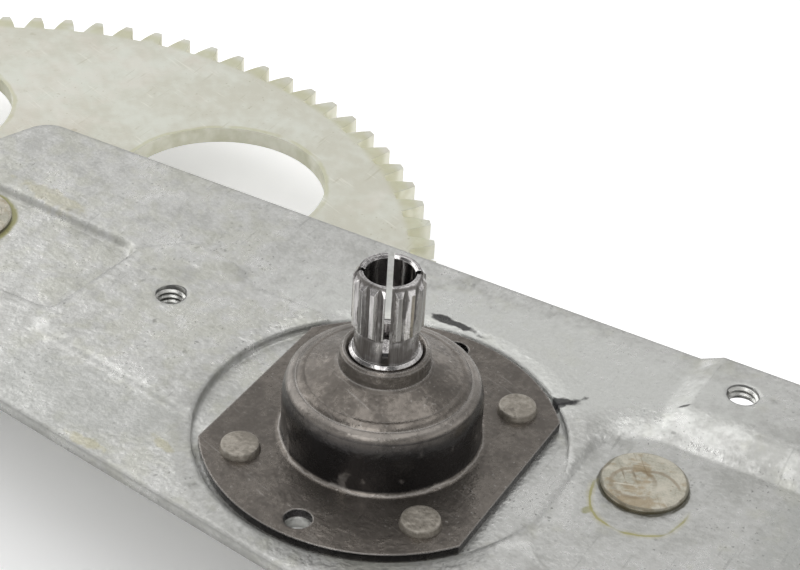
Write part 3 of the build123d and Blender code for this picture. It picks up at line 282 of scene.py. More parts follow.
class EffectLibrary:
    """Builds each shared effect once and hands it out."""

    groups: Dict[Effect, bpy.types.NodeTree] = {}

    @classmethod
    def get(cls, effect: Effect) -> bpy.types.NodeTree:
        """Returns an effect's node group, building it the first time.

        Args:
            effect: which one.

        Returns:
            The node group.
        """
        if effect not in cls.groups:
            builders: Dict[Effect, Callable[[], bpy.types.NodeTree]] = {
                Effect.MOTTLE: cls.mottle,
                Effect.SPECKS: cls.specks,
                Effect.SCRATCHES: cls.scratches,
                Effect.SOFT_EDGE: cls.soft_edge,
                Effect.SPOT: cls.spot,
                Effect.RING: cls.ring,
                Effect.GRAIN: cls.grain,
                Effect.SIDE: cls.side,
                Effect.UPRIGHT: cls.upright,
            }
            cls.groups[effect] = builders[effect]()
        return cls.groups[effect]

    @staticmethod
    def start(
        effect: Effect, inputs: Sequence[SocketPlan], outputs: Sequence[SocketPlan]
    ) -> Tuple[Canvas, bpy.types.Node, bpy.types.Node]:
        """Creates an empty group with its sockets.

        Args:
            effect: names the group.
            inputs: input sockets.
            outputs: output sockets.

        Returns:
            The canvas, the group input node and the group output node.
        """
        tree = bpy.data.node_groups.new(effect.value, "ShaderNodeTree")
        for plan in inputs:
            socket = tree.interface.new_socket(plan.name, in_out="INPUT", socket_type=plan.kind)
            if plan.default is not None:
                socket.default_value = plan.default
        for plan in outputs:
            tree.interface.new_socket(plan.name, in_out="OUTPUT", socket_type=plan.kind)
        canvas = Canvas(tree)
        return canvas, canvas.add("NodeGroupInput"), canvas.add("NodeGroupOutput")

    @classmethod
    def mottle(cls) -> bpy.types.NodeTree:
        """Cloudy light and dark areas in three sizes."""
        finer, finest = 5.3, 21.0
        big_share, small_share, grain_share = 0.42, 0.33, 0.25
        darkest, lightest = 0.38, 0.62
        canvas, source, sink = cls.start(
            Effect.MOTTLE,
            (SocketPlan("Vector", "NodeSocketVector"), SocketPlan("Scale", default=60.0)),
            (SocketPlan("Value"),),
        )
        place, scale = source.outputs["Vector"], source.outputs["Scale"]
        big = canvas.noise(place, scale, detail=5.0, distortion=0.8)
        small = canvas.noise(place, canvas.maths("MULTIPLY", scale, finer), detail=4.0)
        grains = canvas.noise(place, canvas.maths("MULTIPLY", scale, finest), detail=3.0)
        total = canvas.maths("MULTIPLY", small.outputs[0], small_share)
        total = canvas.maths("MULTIPLY_ADD", grains.outputs[0], grain_share, total)
        total = canvas.maths("MULTIPLY_ADD", big.outputs[0], big_share, total)
        canvas.feed(sink.inputs["Value"], canvas.remap(total, darkest, lightest))
        return canvas.tree

    @classmethod
    def specks(cls) -> bpy.types.NodeTree:
        """Ragged specks of uneven size, thicker in some areas than in others."""
        wobble_scale, wobble_reach = 1.6, 1.1
        smallest, spread, core = 0.08, 0.30, 0.45
        crowd_scale, empty, crowded, sparse = 62.0, 0.40, 0.62, 0.2
        canvas, source, sink = cls.start(
            Effect.SPECKS,
            (
                SocketPlan("Vector", "NodeSocketVector"),
                SocketPlan("Scale", default=1400.0),
                SocketPlan("Share", default=0.3),
            ),
            (SocketPlan("Mask"),),
        )
        place, scale = source.outputs["Vector"], source.outputs["Scale"]
        wobble = canvas.noise(place, canvas.maths("MULTIPLY", scale, wobble_scale), detail=2.0)
        centred = canvas.vector("SUBTRACT", wobble.outputs["Color"], (0.5, 0.5, 0.5))
        reach = canvas.maths("DIVIDE", wobble_reach, scale)
        factors = canvas.add("ShaderNodeCombineXYZ", {0: reach, 1: reach, 2: reach})
        shift = canvas.vector("MULTIPLY", centred.outputs[0], factors.outputs[0])
        moved = canvas.vector("ADD", place, shift.outputs[0])
        inputs = {"Vector": moved.outputs[0], "Scale": scale, "Randomness": 1.0}
        cells = canvas.add("ShaderNodeTexVoronoi", inputs)
        pick = canvas.add("ShaderNodeSeparateColor", {0: cells.outputs["Color"]})
        chosen = canvas.maths("LESS_THAN", pick.outputs[0], source.outputs["Share"])
        size = canvas.maths("MULTIPLY_ADD", pick.outputs[1], spread, smallest)
        dot = canvas.remap(canvas.maths("DIVIDE", cells.outputs["Distance"], size), 1.0, core)
        crowd = canvas.noise(place, crowd_scale, detail=3.0)
        share = canvas.remap(crowd.outputs[0], empty, crowded, sparse, 1.0)
        mask = canvas.maths("MULTIPLY", canvas.maths("MULTIPLY", chosen, dot), share)
        canvas.feed(sink.inputs["Mask"], mask)
        return canvas.tree

    @classmethod
    def scratches(cls) -> bpy.types.NodeTree:
        """Fine scratches that run mostly one way."""
        line_start, line_full = 0.60, 0.70
        patch_scale, patch_start, patch_full = 150.0, 0.48, 0.62
        canvas, source, sink = cls.start(
            Effect.SCRATCHES,
            (
                SocketPlan("Vector", "NodeSocketVector"),
                SocketPlan("Scale", default=90.0),
                SocketPlan("Turn", default=0.4),
                SocketPlan("Stretch", default=22.0),
            ),
            (SocketPlan("Mask"),),
        )
        place = source.outputs["Vector"]
        inputs = {"Vector": place, "Angle": source.outputs["Turn"]}
        turned = canvas.add("ShaderNodeVectorRotate", inputs, rotation_type="Z_AXIS")
        factors = canvas.add("ShaderNodeCombineXYZ", {0: 1.0, 1: source.outputs["Stretch"], 2: 1.0})
        stretched = canvas.vector("MULTIPLY", turned.outputs[0], factors.outputs[0])
        lines = canvas.noise(stretched.outputs[0], source.outputs["Scale"], detail=3.0, distortion=0.3)
        broken = canvas.noise(place, patch_scale, detail=2.0)
        fine = canvas.remap(lines.outputs[0], line_start, line_full)
        patch = canvas.remap(broken.outputs[0], patch_start, patch_full)
        canvas.feed(sink.inputs["Mask"], canvas.maths("MULTIPLY", fine, patch))
        return canvas.tree

    @classmethod
    def soft_edge(cls) -> bpy.types.NodeTree:
        """Rounded normals and a mask along sharp edges."""
        flat, sharp = 0.995, 0.90
        canvas, source, sink = cls.start(
            Effect.SOFT_EDGE,
            (SocketPlan("Radius", default=0.3 * MM),),
            (SocketPlan("Normal", "NodeSocketVector"), SocketPlan("Mask")),
        )
        bevel = canvas.add("ShaderNodeBevel", {"Radius": source.outputs["Radius"]}, samples=4)
        geometry = canvas.add("ShaderNodeNewGeometry")
        agreement = canvas.vector("DOT_PRODUCT", bevel.outputs[0], geometry.outputs["Normal"])
        canvas.feed(sink.inputs["Normal"], bevel.outputs[0])
        canvas.feed(sink.inputs["Mask"], canvas.remap(agreement.outputs["Value"], flat, sharp))
        return canvas.tree

    @classmethod
    def spot(cls) -> bpy.types.NodeTree:
        """One ragged oval patch."""
        rag_scale, rag_reach, core = 420.0, 2.4, 0.55
        canvas, source, sink = cls.start(
            Effect.SPOT,
            (
                SocketPlan("Vector", "NodeSocketVector"),
                SocketPlan("Centre", "NodeSocketVector"),
                SocketPlan("Radii", "NodeSocketVector"),
                SocketPlan("Turn"),
                SocketPlan("Ragged", default=0.5),
            ),
            (SocketPlan("Mask"),),
        )
        place = source.outputs["Vector"]
        shifted = canvas.vector("SUBTRACT", place, source.outputs["Centre"])
        inputs = {"Vector": shifted.outputs[0], "Angle": source.outputs["Turn"]}
        turned = canvas.add("ShaderNodeVectorRotate", inputs, rotation_type="Z_AXIS")
        scaled = canvas.vector("DIVIDE", turned.outputs[0], source.outputs["Radii"])
        noise = canvas.noise(place, rag_scale, detail=4.0)
        offset = canvas.maths("SUBTRACT", noise.outputs[0], 0.5)
        wave = canvas.maths("MULTIPLY", offset, source.outputs["Ragged"])
        edge = canvas.maths("MULTIPLY_ADD", wave, rag_reach, canvas.length(scaled.outputs[0]))
        canvas.feed(sink.inputs["Mask"], canvas.remap(edge, 1.0, core))
        return canvas.tree

    @classmethod
    def ring(cls) -> bpy.types.NodeTree:
        """One broken ring about the vertical through a centre."""
        wander_scale, wander_reach, core = 260.0, 1.2 * MM, 0.25
        gap_scale, gap_start, gap_end = 170.0, -0.12, 0.08
        far_side, near_side = 0.35, -0.25
        canvas, source, sink = cls.start(
            Effect.RING,
            (
                SocketPlan("Vector", "NodeSocketVector"),
                SocketPlan("Centre", "NodeSocketVector"),
                SocketPlan("Radius", default=8.0 * MM),
                SocketPlan("Width", default=0.6 * MM),
                SocketPlan("Gaps", default=0.5),
                SocketPlan("Half", default=0.0),
            ),
            (SocketPlan("Mask"),),
        )
        place = source.outputs["Vector"]
        flat = canvas.flat_offset(place, source.outputs["Centre"])
        wander = canvas.noise(place, wander_scale, detail=3.0)
        offset = canvas.maths("MULTIPLY_ADD", wander.outputs[0], wander_reach, -wander_reach / 2)
        off_radius = canvas.maths("SUBTRACT", canvas.length(flat), source.outputs["Radius"])
        away = canvas.maths("ABSOLUTE", canvas.maths("ADD", off_radius, offset))
        line = canvas.remap(canvas.maths("DIVIDE", away, source.outputs["Width"]), 1.0, core)
        holes = canvas.noise(place, gap_scale, detail=2.0)
        kept = canvas.maths("SUBTRACT", holes.outputs[0], source.outputs["Gaps"])
        share = canvas.remap(kept, gap_start, gap_end)
        across = canvas.add("ShaderNodeSeparateXYZ", {0: flat}).outputs[1]
        side = canvas.maths("DIVIDE", across, source.outputs["Radius"])
        missing = canvas.maths("SUBTRACT", canvas.remap(side, far_side, near_side), 1.0)
        kept_side = canvas.maths("MULTIPLY_ADD", missing, source.outputs["Half"], 1.0)
        whole = canvas.maths("MULTIPLY", line, share)
        canvas.feed(sink.inputs["Mask"], canvas.maths("MULTIPLY", whole, kept_side))
        return canvas.tree

    @classmethod
    def side(cls) -> bpy.types.NodeTree:
        """Signed distance to one side of an outline, positive outside."""
        canvas, source, sink = cls.start(
            Effect.SIDE,
            (
                SocketPlan("Vector", "NodeSocketVector"),
                SocketPlan("Outward", "NodeSocketVector"),
                SocketPlan("Offset"),
            ),
            (SocketPlan("Distance"),),
        )
        reach = canvas.vector("DOT_PRODUCT", source.outputs["Vector"], source.outputs["Outward"])
        distance = canvas.maths("SUBTRACT", reach.outputs["Value"], source.outputs["Offset"])
        canvas.feed(sink.inputs["Distance"], distance)
        return canvas.tree

    @classmethod
    def upright(cls) -> bpy.types.NodeTree:
        """Mask of the faces that stand upright, such as cut edges and drum walls."""
        full = 0.15
        canvas, source, sink = cls.start(
            Effect.UPRIGHT, (SocketPlan("Start", default=0.6),), (SocketPlan("Mask"),)
        )
        geometry = canvas.add("ShaderNodeNewGeometry")
        up = canvas.add("ShaderNodeSeparateXYZ", {0: geometry.outputs["Normal"]}).outputs[2]
        lean = canvas.maths("DIVIDE", canvas.maths("ABSOLUTE", up), source.outputs["Start"])
        canvas.feed(sink.inputs["Mask"], canvas.remap(lean, 1.0, full))
        return canvas.tree

    @classmethod
    def grain(cls) -> bpy.types.NodeTree:
        """Fine unevenness of a surface, as a bent normal."""
        broad_scale, broad_share, depth = 95.0, 2.2, 0.4 * MM
        canvas, source, sink = cls.start(
            Effect.GRAIN,
            (
                SocketPlan("Vector", "NodeSocketVector"),
                SocketPlan("Scale", default=900.0),
                SocketPlan("Strength", default=0.2),
                SocketPlan("Normal", "NodeSocketVector"),
            ),
            (SocketPlan("Normal", "NodeSocketVector"),),
        )
        place = source.outputs["Vector"]
        fine = canvas.noise(place, source.outputs["Scale"], detail=4.0)
        broad = canvas.noise(place, broad_scale, detail=2.0)
        bump = canvas.add(
            "ShaderNodeBump",
            {
                "Height": canvas.maths("MULTIPLY_ADD", broad.outputs[0], broad_share, fine.outputs[0]),
                "Distance": depth,
                "Strength": source.outputs["Strength"],
                "Normal": source.outputs["Normal"],
            },
        )
        canvas.feed(sink.inputs["Normal"], bump.outputs[0])
        return canvas.tree


@dataclass(frozen=True)
class Plateau:
    """A softly bordered raised area of the sheet, a union of convex outlines.

    Attributes:
        outlines: corners of each outline, counter-clockwise.
        border: width of the sloping border.
        rise: height of the area.
        corner: how softly the sides of an outline meet.
        blend: how softly the outlines meet each other.
    """

    outlines: Tuple[Tuple[Tuple[float, float], ...], ...]
    border: float
    rise: float
    corner: float = 4 * MM
    blend: float = 2 * MM

    def reach(self, canvas: Canvas, place: Socket, outline: Tuple[Tuple[float, float], ...]) -> Socket:
        """Adds the signed distance to one outline.

        Args:
            canvas: the material's canvas.
            place: position on the sheet.
            outline: its corners.

        Returns:
            The distance, positive outside.
        """
        distance: Optional[Socket] = None
        for start, end in zip(outline, outline[1:] + outline[:1]):
            along = Vector((end[0] - start[0], end[1] - start[1], 0.0)).normalized()
            outward = Vector((along.y, -along.x, 0.0))
            offset = outward.dot(Vector((*start, 0.0)))
            inputs = {"Vector": place, "Outward": tuple(outward), "Offset": offset}
            side = canvas.effect(Effect.SIDE, inputs).outputs["Distance"]
            distance = side if distance is None else canvas.maths("SMOOTH_MAX", distance, side, self.corner)
        return distance

    def height(self, canvas: Canvas, place: Socket) -> Socket:
        """Adds the nodes of its height.

        Args:
            canvas: the material's canvas.
            place: position on the sheet.

        Returns:
            Height in metres.
        """
        nearest: Optional[Socket] = None
        for outline in self.outlines:
            reach = self.reach(canvas, place, outline)
            nearest = reach if nearest is None else canvas.maths("SMOOTH_MIN", nearest, reach, self.blend)
        level = canvas.remap(nearest, self.border / 2, -self.border / 2)
        return canvas.maths("MULTIPLY", level, self.rise)


@dataclass(frozen=True)
class Dish:
    """A soft slope down towards a round recess.

    Attributes:
        centre: middle of the recess.
        inner: radius where the slope is lowest.
        outer: radius where it starts.
        drop: how far it goes down.
    """

    centre: Point
    inner: float
    outer: float
    drop: float

    def height(self, canvas: Canvas, place: Socket) -> Socket:
        """Adds the nodes of its height.

        Args:
            canvas: the material's canvas.
            place: position on the sheet.

        Returns:
            Height in metres.
        """
        distance = canvas.length(canvas.flat_offset(place, self.centre))
        return canvas.remap(distance, self.inner, self.outer, -self.drop, 0.0)


@dataclass(frozen=True)
class Spot:
    """A ragged oval mark on a surface.

    Attributes:
        centre: its middle.
        radii: half its length, width and depth.
        colour: its colour.
        turn: its turn about the vertical, in radians.
        ragged: how uneven its outline is.
        strength: how much it covers.
    """

    centre: Point
    radii: Point
    colour: Colour
    turn: float = 0.0
    ragged: float = 0.5
    strength: float = 0.8

    def share(self, canvas: Canvas, place: Socket) -> Socket:
        """Adds the share that the mark covers.

        Args:
            canvas: the material's canvas.
            place: position on the piece.

        Returns:
            The share, from 0 to the mark's strength.
        """
        inputs = {
            "Vector": place,
            "Centre": self.centre,
            "Radii": self.radii,
            "Turn": self.turn,
            "Ragged": self.ragged,
        }
        return canvas.maths("MULTIPLY", canvas.effect(Effect.SPOT, inputs).outputs["Mask"], self.strength)


@dataclass(frozen=True)
class Ring:
    """A broken ring of grease, stain, painted shade or painted highlight round a vertical axis.

    Attributes:
        centre: a point on the axis.
        radius: its radius.
        width: half the width of its line.
        colour: its colour.
        gaps: how much of it is missing.
        strength: how much it covers.
        half: 1 keeps only the half towards -Y.
    """

    centre: Point
    radius: float
    width: float
    colour: Colour
    gaps: float = 0.45
    strength: float = 0.85
    half: float = 0.0

    def share(self, canvas: Canvas, place: Socket) -> Socket:
        """Adds the share that the ring covers.

        Args:
            canvas: the material's canvas.
            place: position on the piece.

        Returns:
            The share, from 0 to the ring's strength.
        """
        inputs = {
            "Vector": place,
            "Centre": self.centre,
            "Radius": self.radius,
            "Width": self.width,
            "Gaps": self.gaps,
            "Half": self.half,
        }
        return canvas.maths("MULTIPLY", canvas.effect(Effect.RING, inputs).outputs["Mask"], self.strength)


@dataclass(frozen=True)
class Finish:
    """A worn metal or plastic surface, from its colours to its marks.

    Scales are in waves or cells to a metre, shares and strengths from 0 to 1.

    Attributes:
        slot: its material slot.
        light: colour of the light clouds.
        dark: colour of the dark clouds.
        speck: colour of specks, blots and cross scratches.
        edge: colour of worn edges, glints and scratches.
        metallic: how metallic it is.
        roughness: roughness of the light and of the dark clouds.
        mottle_scale: scale of the clouds.
        speck_scale: scale of the specks.
        speck_share: share of cells with a speck.
        glint_share: share of cells with a bright glint.
        stretch: draws the clouds out along an axis where below 1.
        blot_scale: scale of the larger blots.
        blot_share: share of cells with a blot.
        scratch_turn: direction of the scratches, in radians.
        scratch_strength: how clear the scratches are.
        edge_radius: radius to which edges look rounded.
        edge_strength: how worn the edges are.
        grain_scale: scale of the fine unevenness.
        grain_strength: strength of the fine unevenness.
        painted_side_shading_colour: colour painted on upright faces for how light falls on them, as painted
            shade where it is darker than the face and painted light where it is paler.
        painted_side_shading_strength: how much it covers them.
        painted_side_shading_start: upward part of the normal where it starts.
        painted_side_shading_reach: radius outside which it applies, 0 for everywhere.
        stain: colour of broad stains.
        stain_strength: how much they cover.
        reliefs: soft reliefs of the sheet.
        spots: ragged marks.
        rings: broken rings.
    """

    slot: Slot
    light: Colour
    dark: Colour
    speck: Colour
    edge: Colour
    metallic: float = 0.85
    roughness: Tuple[float, float] = (0.42, 0.6)
    mottle_scale: float = 45.0
    speck_scale: float = 1500.0
    speck_share: float = 0.34
    glint_share: float = 0.0
    stretch: Point = (1.0, 1.0, 1.0)
    blot_scale: float = 480.0
    blot_share: float = 0.07
    scratch_turn: float = 0.35
    scratch_strength: float = 0.35
    edge_radius: float = 0.25 * MM
    edge_strength: float = 0.6
    grain_scale: float = 1100.0
    grain_strength: float = 0.16
    painted_side_shading_colour: Colour = (0.5, 0.5, 0.5)
    painted_side_shading_strength: float = 0.0
    painted_side_shading_start: float = 0.6
    painted_side_shading_reach: float = 0.0
    stain: Colour = (0.46, 0.46, 0.34)
    stain_strength: float = 0.0
    reliefs: Tuple[Union[Plateau, Dish], ...] = ()
    spots: Tuple[Spot, ...] = ()
    rings: Tuple[Ring, ...] = ()

    # Depths and scales that all finishes share.
    SPECK_DEPTH = 0.7
    BLOT_DEPTH = 0.55
    GLINT_SCALE = 0.8
    GLINT_DEPTH = 0.6
    STAIN_SCALE = 0.31
    STAIN_START = 0.5
    CROSS_SCALE = 130.0
    CROSS_TURN = 1.25
    CROSS_STRETCH = 14.0
    CROSS_DEPTH = 0.8
    REACH_BORDER = 1 * MM

    @staticmethod
    def specks(canvas: Canvas, place: Socket, scale: float, share: float, depth: float) -> Socket:
        """Adds one layer of specks.

        Args:
            canvas: the material's canvas.
            place: position on the piece.
            scale: cells to a metre.
            share: share of cells with a speck.
            depth: strength of the layer.

        Returns:
            The layer's mask.
        """
        inputs = {"Vector": place, "Scale": scale, "Share": share}
        return canvas.maths("MULTIPLY", canvas.effect(Effect.SPECKS, inputs).outputs["Mask"], depth)

    def tones(self, canvas: Canvas, place: Socket, mottle: Socket) -> Socket:
        """Adds clouds, specks, glints and stains.

        Args:
            canvas: the material's canvas.
            place: position on the piece.
            mottle: the clouds.

        Returns:
            The colour.
        """
        specks = self.specks(canvas, place, self.speck_scale, self.speck_share, self.SPECK_DEPTH)
        blots = self.specks(canvas, place, self.blot_scale, self.blot_share, self.BLOT_DEPTH)
        colour = canvas.mix(mottle, self.dark, self.light)
        colour = canvas.mix(canvas.maths("MAXIMUM", specks, blots), colour, self.speck)
        if self.glint_share:
            scale = self.speck_scale * self.GLINT_SCALE
            glints = self.specks(canvas, place, scale, self.glint_share, self.GLINT_DEPTH)
            colour = canvas.mix(glints, colour, self.edge)
        inputs = {"Vector": place, "Scale": self.mottle_scale * self.STAIN_SCALE}
        broad = canvas.effect(Effect.MOTTLE, inputs).outputs["Value"]
        tint = canvas.maths("MULTIPLY", canvas.remap(broad, self.STAIN_START, 1.0), self.stain_strength)
        return canvas.mix(tint, colour, self.stain)

    def wear_and_painted_side_shading(self, canvas: Canvas, place: Socket, colour: Socket, edges: Socket) -> Socket:
        """Adds scratches, the painted shading of upright faces and worn edges.

        Args:
            canvas: the material's canvas.
            place: position on the piece.
            colour: the colour so far.
            edges: mask of the edges.

        Returns:
            The colour.
        """
        inputs = {"Vector": place, "Turn": self.scratch_turn}
        along = canvas.effect(Effect.SCRATCHES, inputs).outputs["Mask"]
        colour = canvas.mix(canvas.maths("MULTIPLY", along, self.scratch_strength), colour, self.edge)
        turn = self.scratch_turn + self.CROSS_TURN
        inputs = {"Vector": place, "Scale": self.CROSS_SCALE, "Turn": turn, "Stretch": self.CROSS_STRETCH}
        across = canvas.effect(Effect.SCRATCHES, inputs).outputs["Mask"]
        share = canvas.maths("MULTIPLY", across, self.scratch_strength * self.CROSS_DEPTH)
        colour = canvas.mix(share, colour, self.speck)
        # Painted shading: upright faces are made darker or paler for how light falls on them.
        upright = canvas.effect(Effect.UPRIGHT, {"Start": self.painted_side_shading_start}).outputs["Mask"]
        if self.painted_side_shading_reach:
            distance = canvas.length(canvas.flat_offset(place, (0.0, 0.0, 0.0)))
            outside = canvas.remap(distance, self.painted_side_shading_reach - self.REACH_BORDER, self.painted_side_shading_reach)
            upright = canvas.maths("MULTIPLY", upright, outside)
        colour = canvas.mix(canvas.maths("MULTIPLY", upright, self.painted_side_shading_strength), colour, self.painted_side_shading_colour)
        return canvas.mix(canvas.maths("MULTIPLY", edges, self.edge_strength), colour, self.edge)

    def marks(self, canvas: Canvas, place: Socket, colour: Socket) -> Tuple[Socket, Setting]:
        """Adds spots and rings.

        Args:
            canvas: the material's canvas.
            place: position on the piece.
            colour: the colour so far.

        Returns:
            The colour, and the share that the rings cover.
        """
        for spot in self.spots:
            colour = canvas.mix(spot.share(canvas, place), colour, spot.colour)
        ring_cover: Setting = 0.0
        for ring in self.rings:
            share = ring.share(canvas, place)
            colour = canvas.mix(share, colour, ring.colour)
            ring_cover = canvas.maths("MAXIMUM", ring_cover, share)
        return colour, ring_cover

    def bent_normal(self, canvas: Canvas, place: Socket, normal: Socket) -> Socket:
        """Adds the reliefs and the fine grain.

        Args:
            canvas: the material's canvas.
            place: position on the piece.
            normal: the rounded normal.

        Returns:
            The normal.
        """
        if self.reliefs:
            total = self.reliefs[0].height(canvas, place)
            for relief in self.reliefs[1:]:
                total = canvas.maths("ADD", total, relief.height(canvas, place))
            inputs = {"Height": total, "Distance": 1.0, "Strength": 1.0, "Normal": normal}
            normal = canvas.add("ShaderNodeBump", inputs).outputs[0]
        inputs = {
            "Vector": place,
            "Scale": self.grain_scale,
            "Strength": self.grain_strength,
            "Normal": normal,
        }
        return canvas.effect(Effect.GRAIN, inputs).outputs["Normal"]

    def build(self, label: str = "") -> bpy.types.Material:
        """Makes the material.

        Args:
            label: added to the name when one slot has several versions.

        Returns:
            The material.
        """
        material = bpy.data.materials.new(f"finish_{self.slot.value}{label}")
        material.use_nodes = True
        material.node_tree.nodes.clear()
        canvas = Canvas(material.node_tree)
        place = canvas.add("ShaderNodeTexCoord").outputs["Object"]
        soft = canvas.effect(Effect.SOFT_EDGE, {"Radius": self.edge_radius})
        drawn = canvas.vector("MULTIPLY", place, self.stretch).outputs[0]
        inputs = {"Vector": drawn, "Scale": self.mottle_scale}
        mottle = canvas.effect(Effect.MOTTLE, inputs).outputs["Value"]
        colour = self.tones(canvas, place, mottle)
        colour = self.wear_and_painted_side_shading(canvas, place, colour, soft.outputs["Mask"])
        colour, ring_cover = self.marks(canvas, place, colour)
        smooth, rough = self.roughness
        shader = canvas.add(
            "ShaderNodeBsdfPrincipled",
            {
                "Base Color": colour,
                "Metallic": canvas.maths("MULTIPLY_ADD", ring_cover, -self.metallic, self.metallic, clamp=True),
                "Roughness": canvas.remap(mottle, 0.0, 1.0, rough, smooth),
                "Normal": self.bent_normal(canvas, place, soft.outputs["Normal"]),
            },
        )
        canvas.add("ShaderNodeOutputMaterial", {"Surface": shader.outputs[0]})
        LOG.info("finish %s", material.name)
        return material


def dress(node: str, material: bpy.types.Material) -> bpy.types.Object:
    """Gives a frame node its finish.

    Args:
        node: name of the node.
        material: its material.

    Returns:
        The node's object.
    """
    piece = frame["nodes"][node]
    piece.data.materials.clear()
    piece.data.materials.append(material)
    LOG.info("dressed %s with %s", node, material.name)
    return piece


def mount(name: str) -> dict:
    """Looks up a mount in the record.

    Args:
        name: the mount's name.

    Returns:
        Its entry.
    """
    return next(m for m in frame["record"]["mounts"] if m["name"] == name)


def joint_point(name: str) -> Vector:
    """Position of a joint.

    Args:
        name: the joint's name.

    Returns:
        Its position in the row frame.
    """
    return Vector(next(j for j in frame["joints"] if j["name"] == name)["pos_m"])


@dataclass
class ThreadCrest:
    """The crest of an internal thread, wound inside a tapped hole.

    Attributes:
        name: name of the new object.
        hole: the hole's mount.
        pitch: rise in one turn.
        depth: height of the crest above the wall.
        root_overlap: how far its foot reaches into the wall.
        root_half: half the foot's width, in pitches.
        crest_half: half the top's width, in pitches.
        steps_per_turn: sections in one turn.
    """

    name: str
    hole: dict
    pitch: float = 1.0 * MM
    depth: float = 0.42 * MM
    root_overlap: float = 0.05 * MM
    root_half: float = 0.46
    crest_half: float = 0.06
    steps_per_turn: int = 40

    def build(self, material: bpy.types.Material) -> bpy.types.Object:
        """Winds the crest.

        Args:
            material: finish of the crest.

        Returns:
            The new object, riding the frame's root body.
        """
        centre = Vector(self.hole["pos_m"])
        length = self.hole["dims"]["length_mm"] * MM
        wall = self.hole["dims"]["r_mm"] * MM
        turns = (length - self.pitch) / self.pitch
        steps = round(turns * self.steps_per_turn)
        root, crest = wall + self.root_overlap, wall - self.depth
        section = (
            (root, -self.root_half),
            (crest, -self.crest_half),
            (crest, self.crest_half),
            (root, self.root_half),
        )
        vertices: List[Point] = []
        for step in range(steps + 1):
            angle = 2 * pi * step / self.steps_per_turn
            middle = centre.z - length / 2 + self.pitch * (0.5 + step / self.steps_per_turn)
            for radius, along in section:
                x, y = centre.x + radius * cos(angle), centre.y + radius * sin(angle)
                vertices.append((x, y, middle + along * self.pitch))
        count = len(section)
        last = range(steps * count, (steps + 1) * count)
        faces: List[Tuple[int, ...]] = [tuple(range(count)), tuple(reversed(last))]
        for step in range(steps):
            for side in range(count):
                a = step * count + side
                b = step * count + (side + 1) % count
                faces.append((a, a + count, b + count, b))
        mesh = bpy.data.meshes.new(self.name)
        mesh.from_pydata(vertices, [], faces)
        mesh.materials.append(material)
        thread = bpy.data.objects.new(self.name, mesh)
        bpy.context.scene.collection.objects.link(thread)
        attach(thread, "frame_body")
        LOG.info("thread crest %s, %d turns", self.name, round(turns))
        return thread


# Colours of grease, stains, rust and zinc patches, and of painted shade, painted light and painted
# highlights.
GREASE = (0.24, 0.23, 0.06)
GREASE_DARK = (0.05, 0.045, 0.02)
SMUDGE_AND_SHADE = (0.022, 0.021, 0.022)
CHROME_STAIN = (0.42, 0.38, 0.20)
FLUTE_GREASE_AND_SHADE = (0.05, 0.042, 0.035)
PAINTED_HIGHLIGHT_STEEL = (0.40, 0.375, 0.35)
RUST = (0.17, 0.12, 0.06)
OLIVE = (0.40, 0.39, 0.17)
PAINTED_LIGHT_ZINC = (0.66, 0.67, 0.64)
DULL_ZINC = (0.38, 0.39, 0.37)


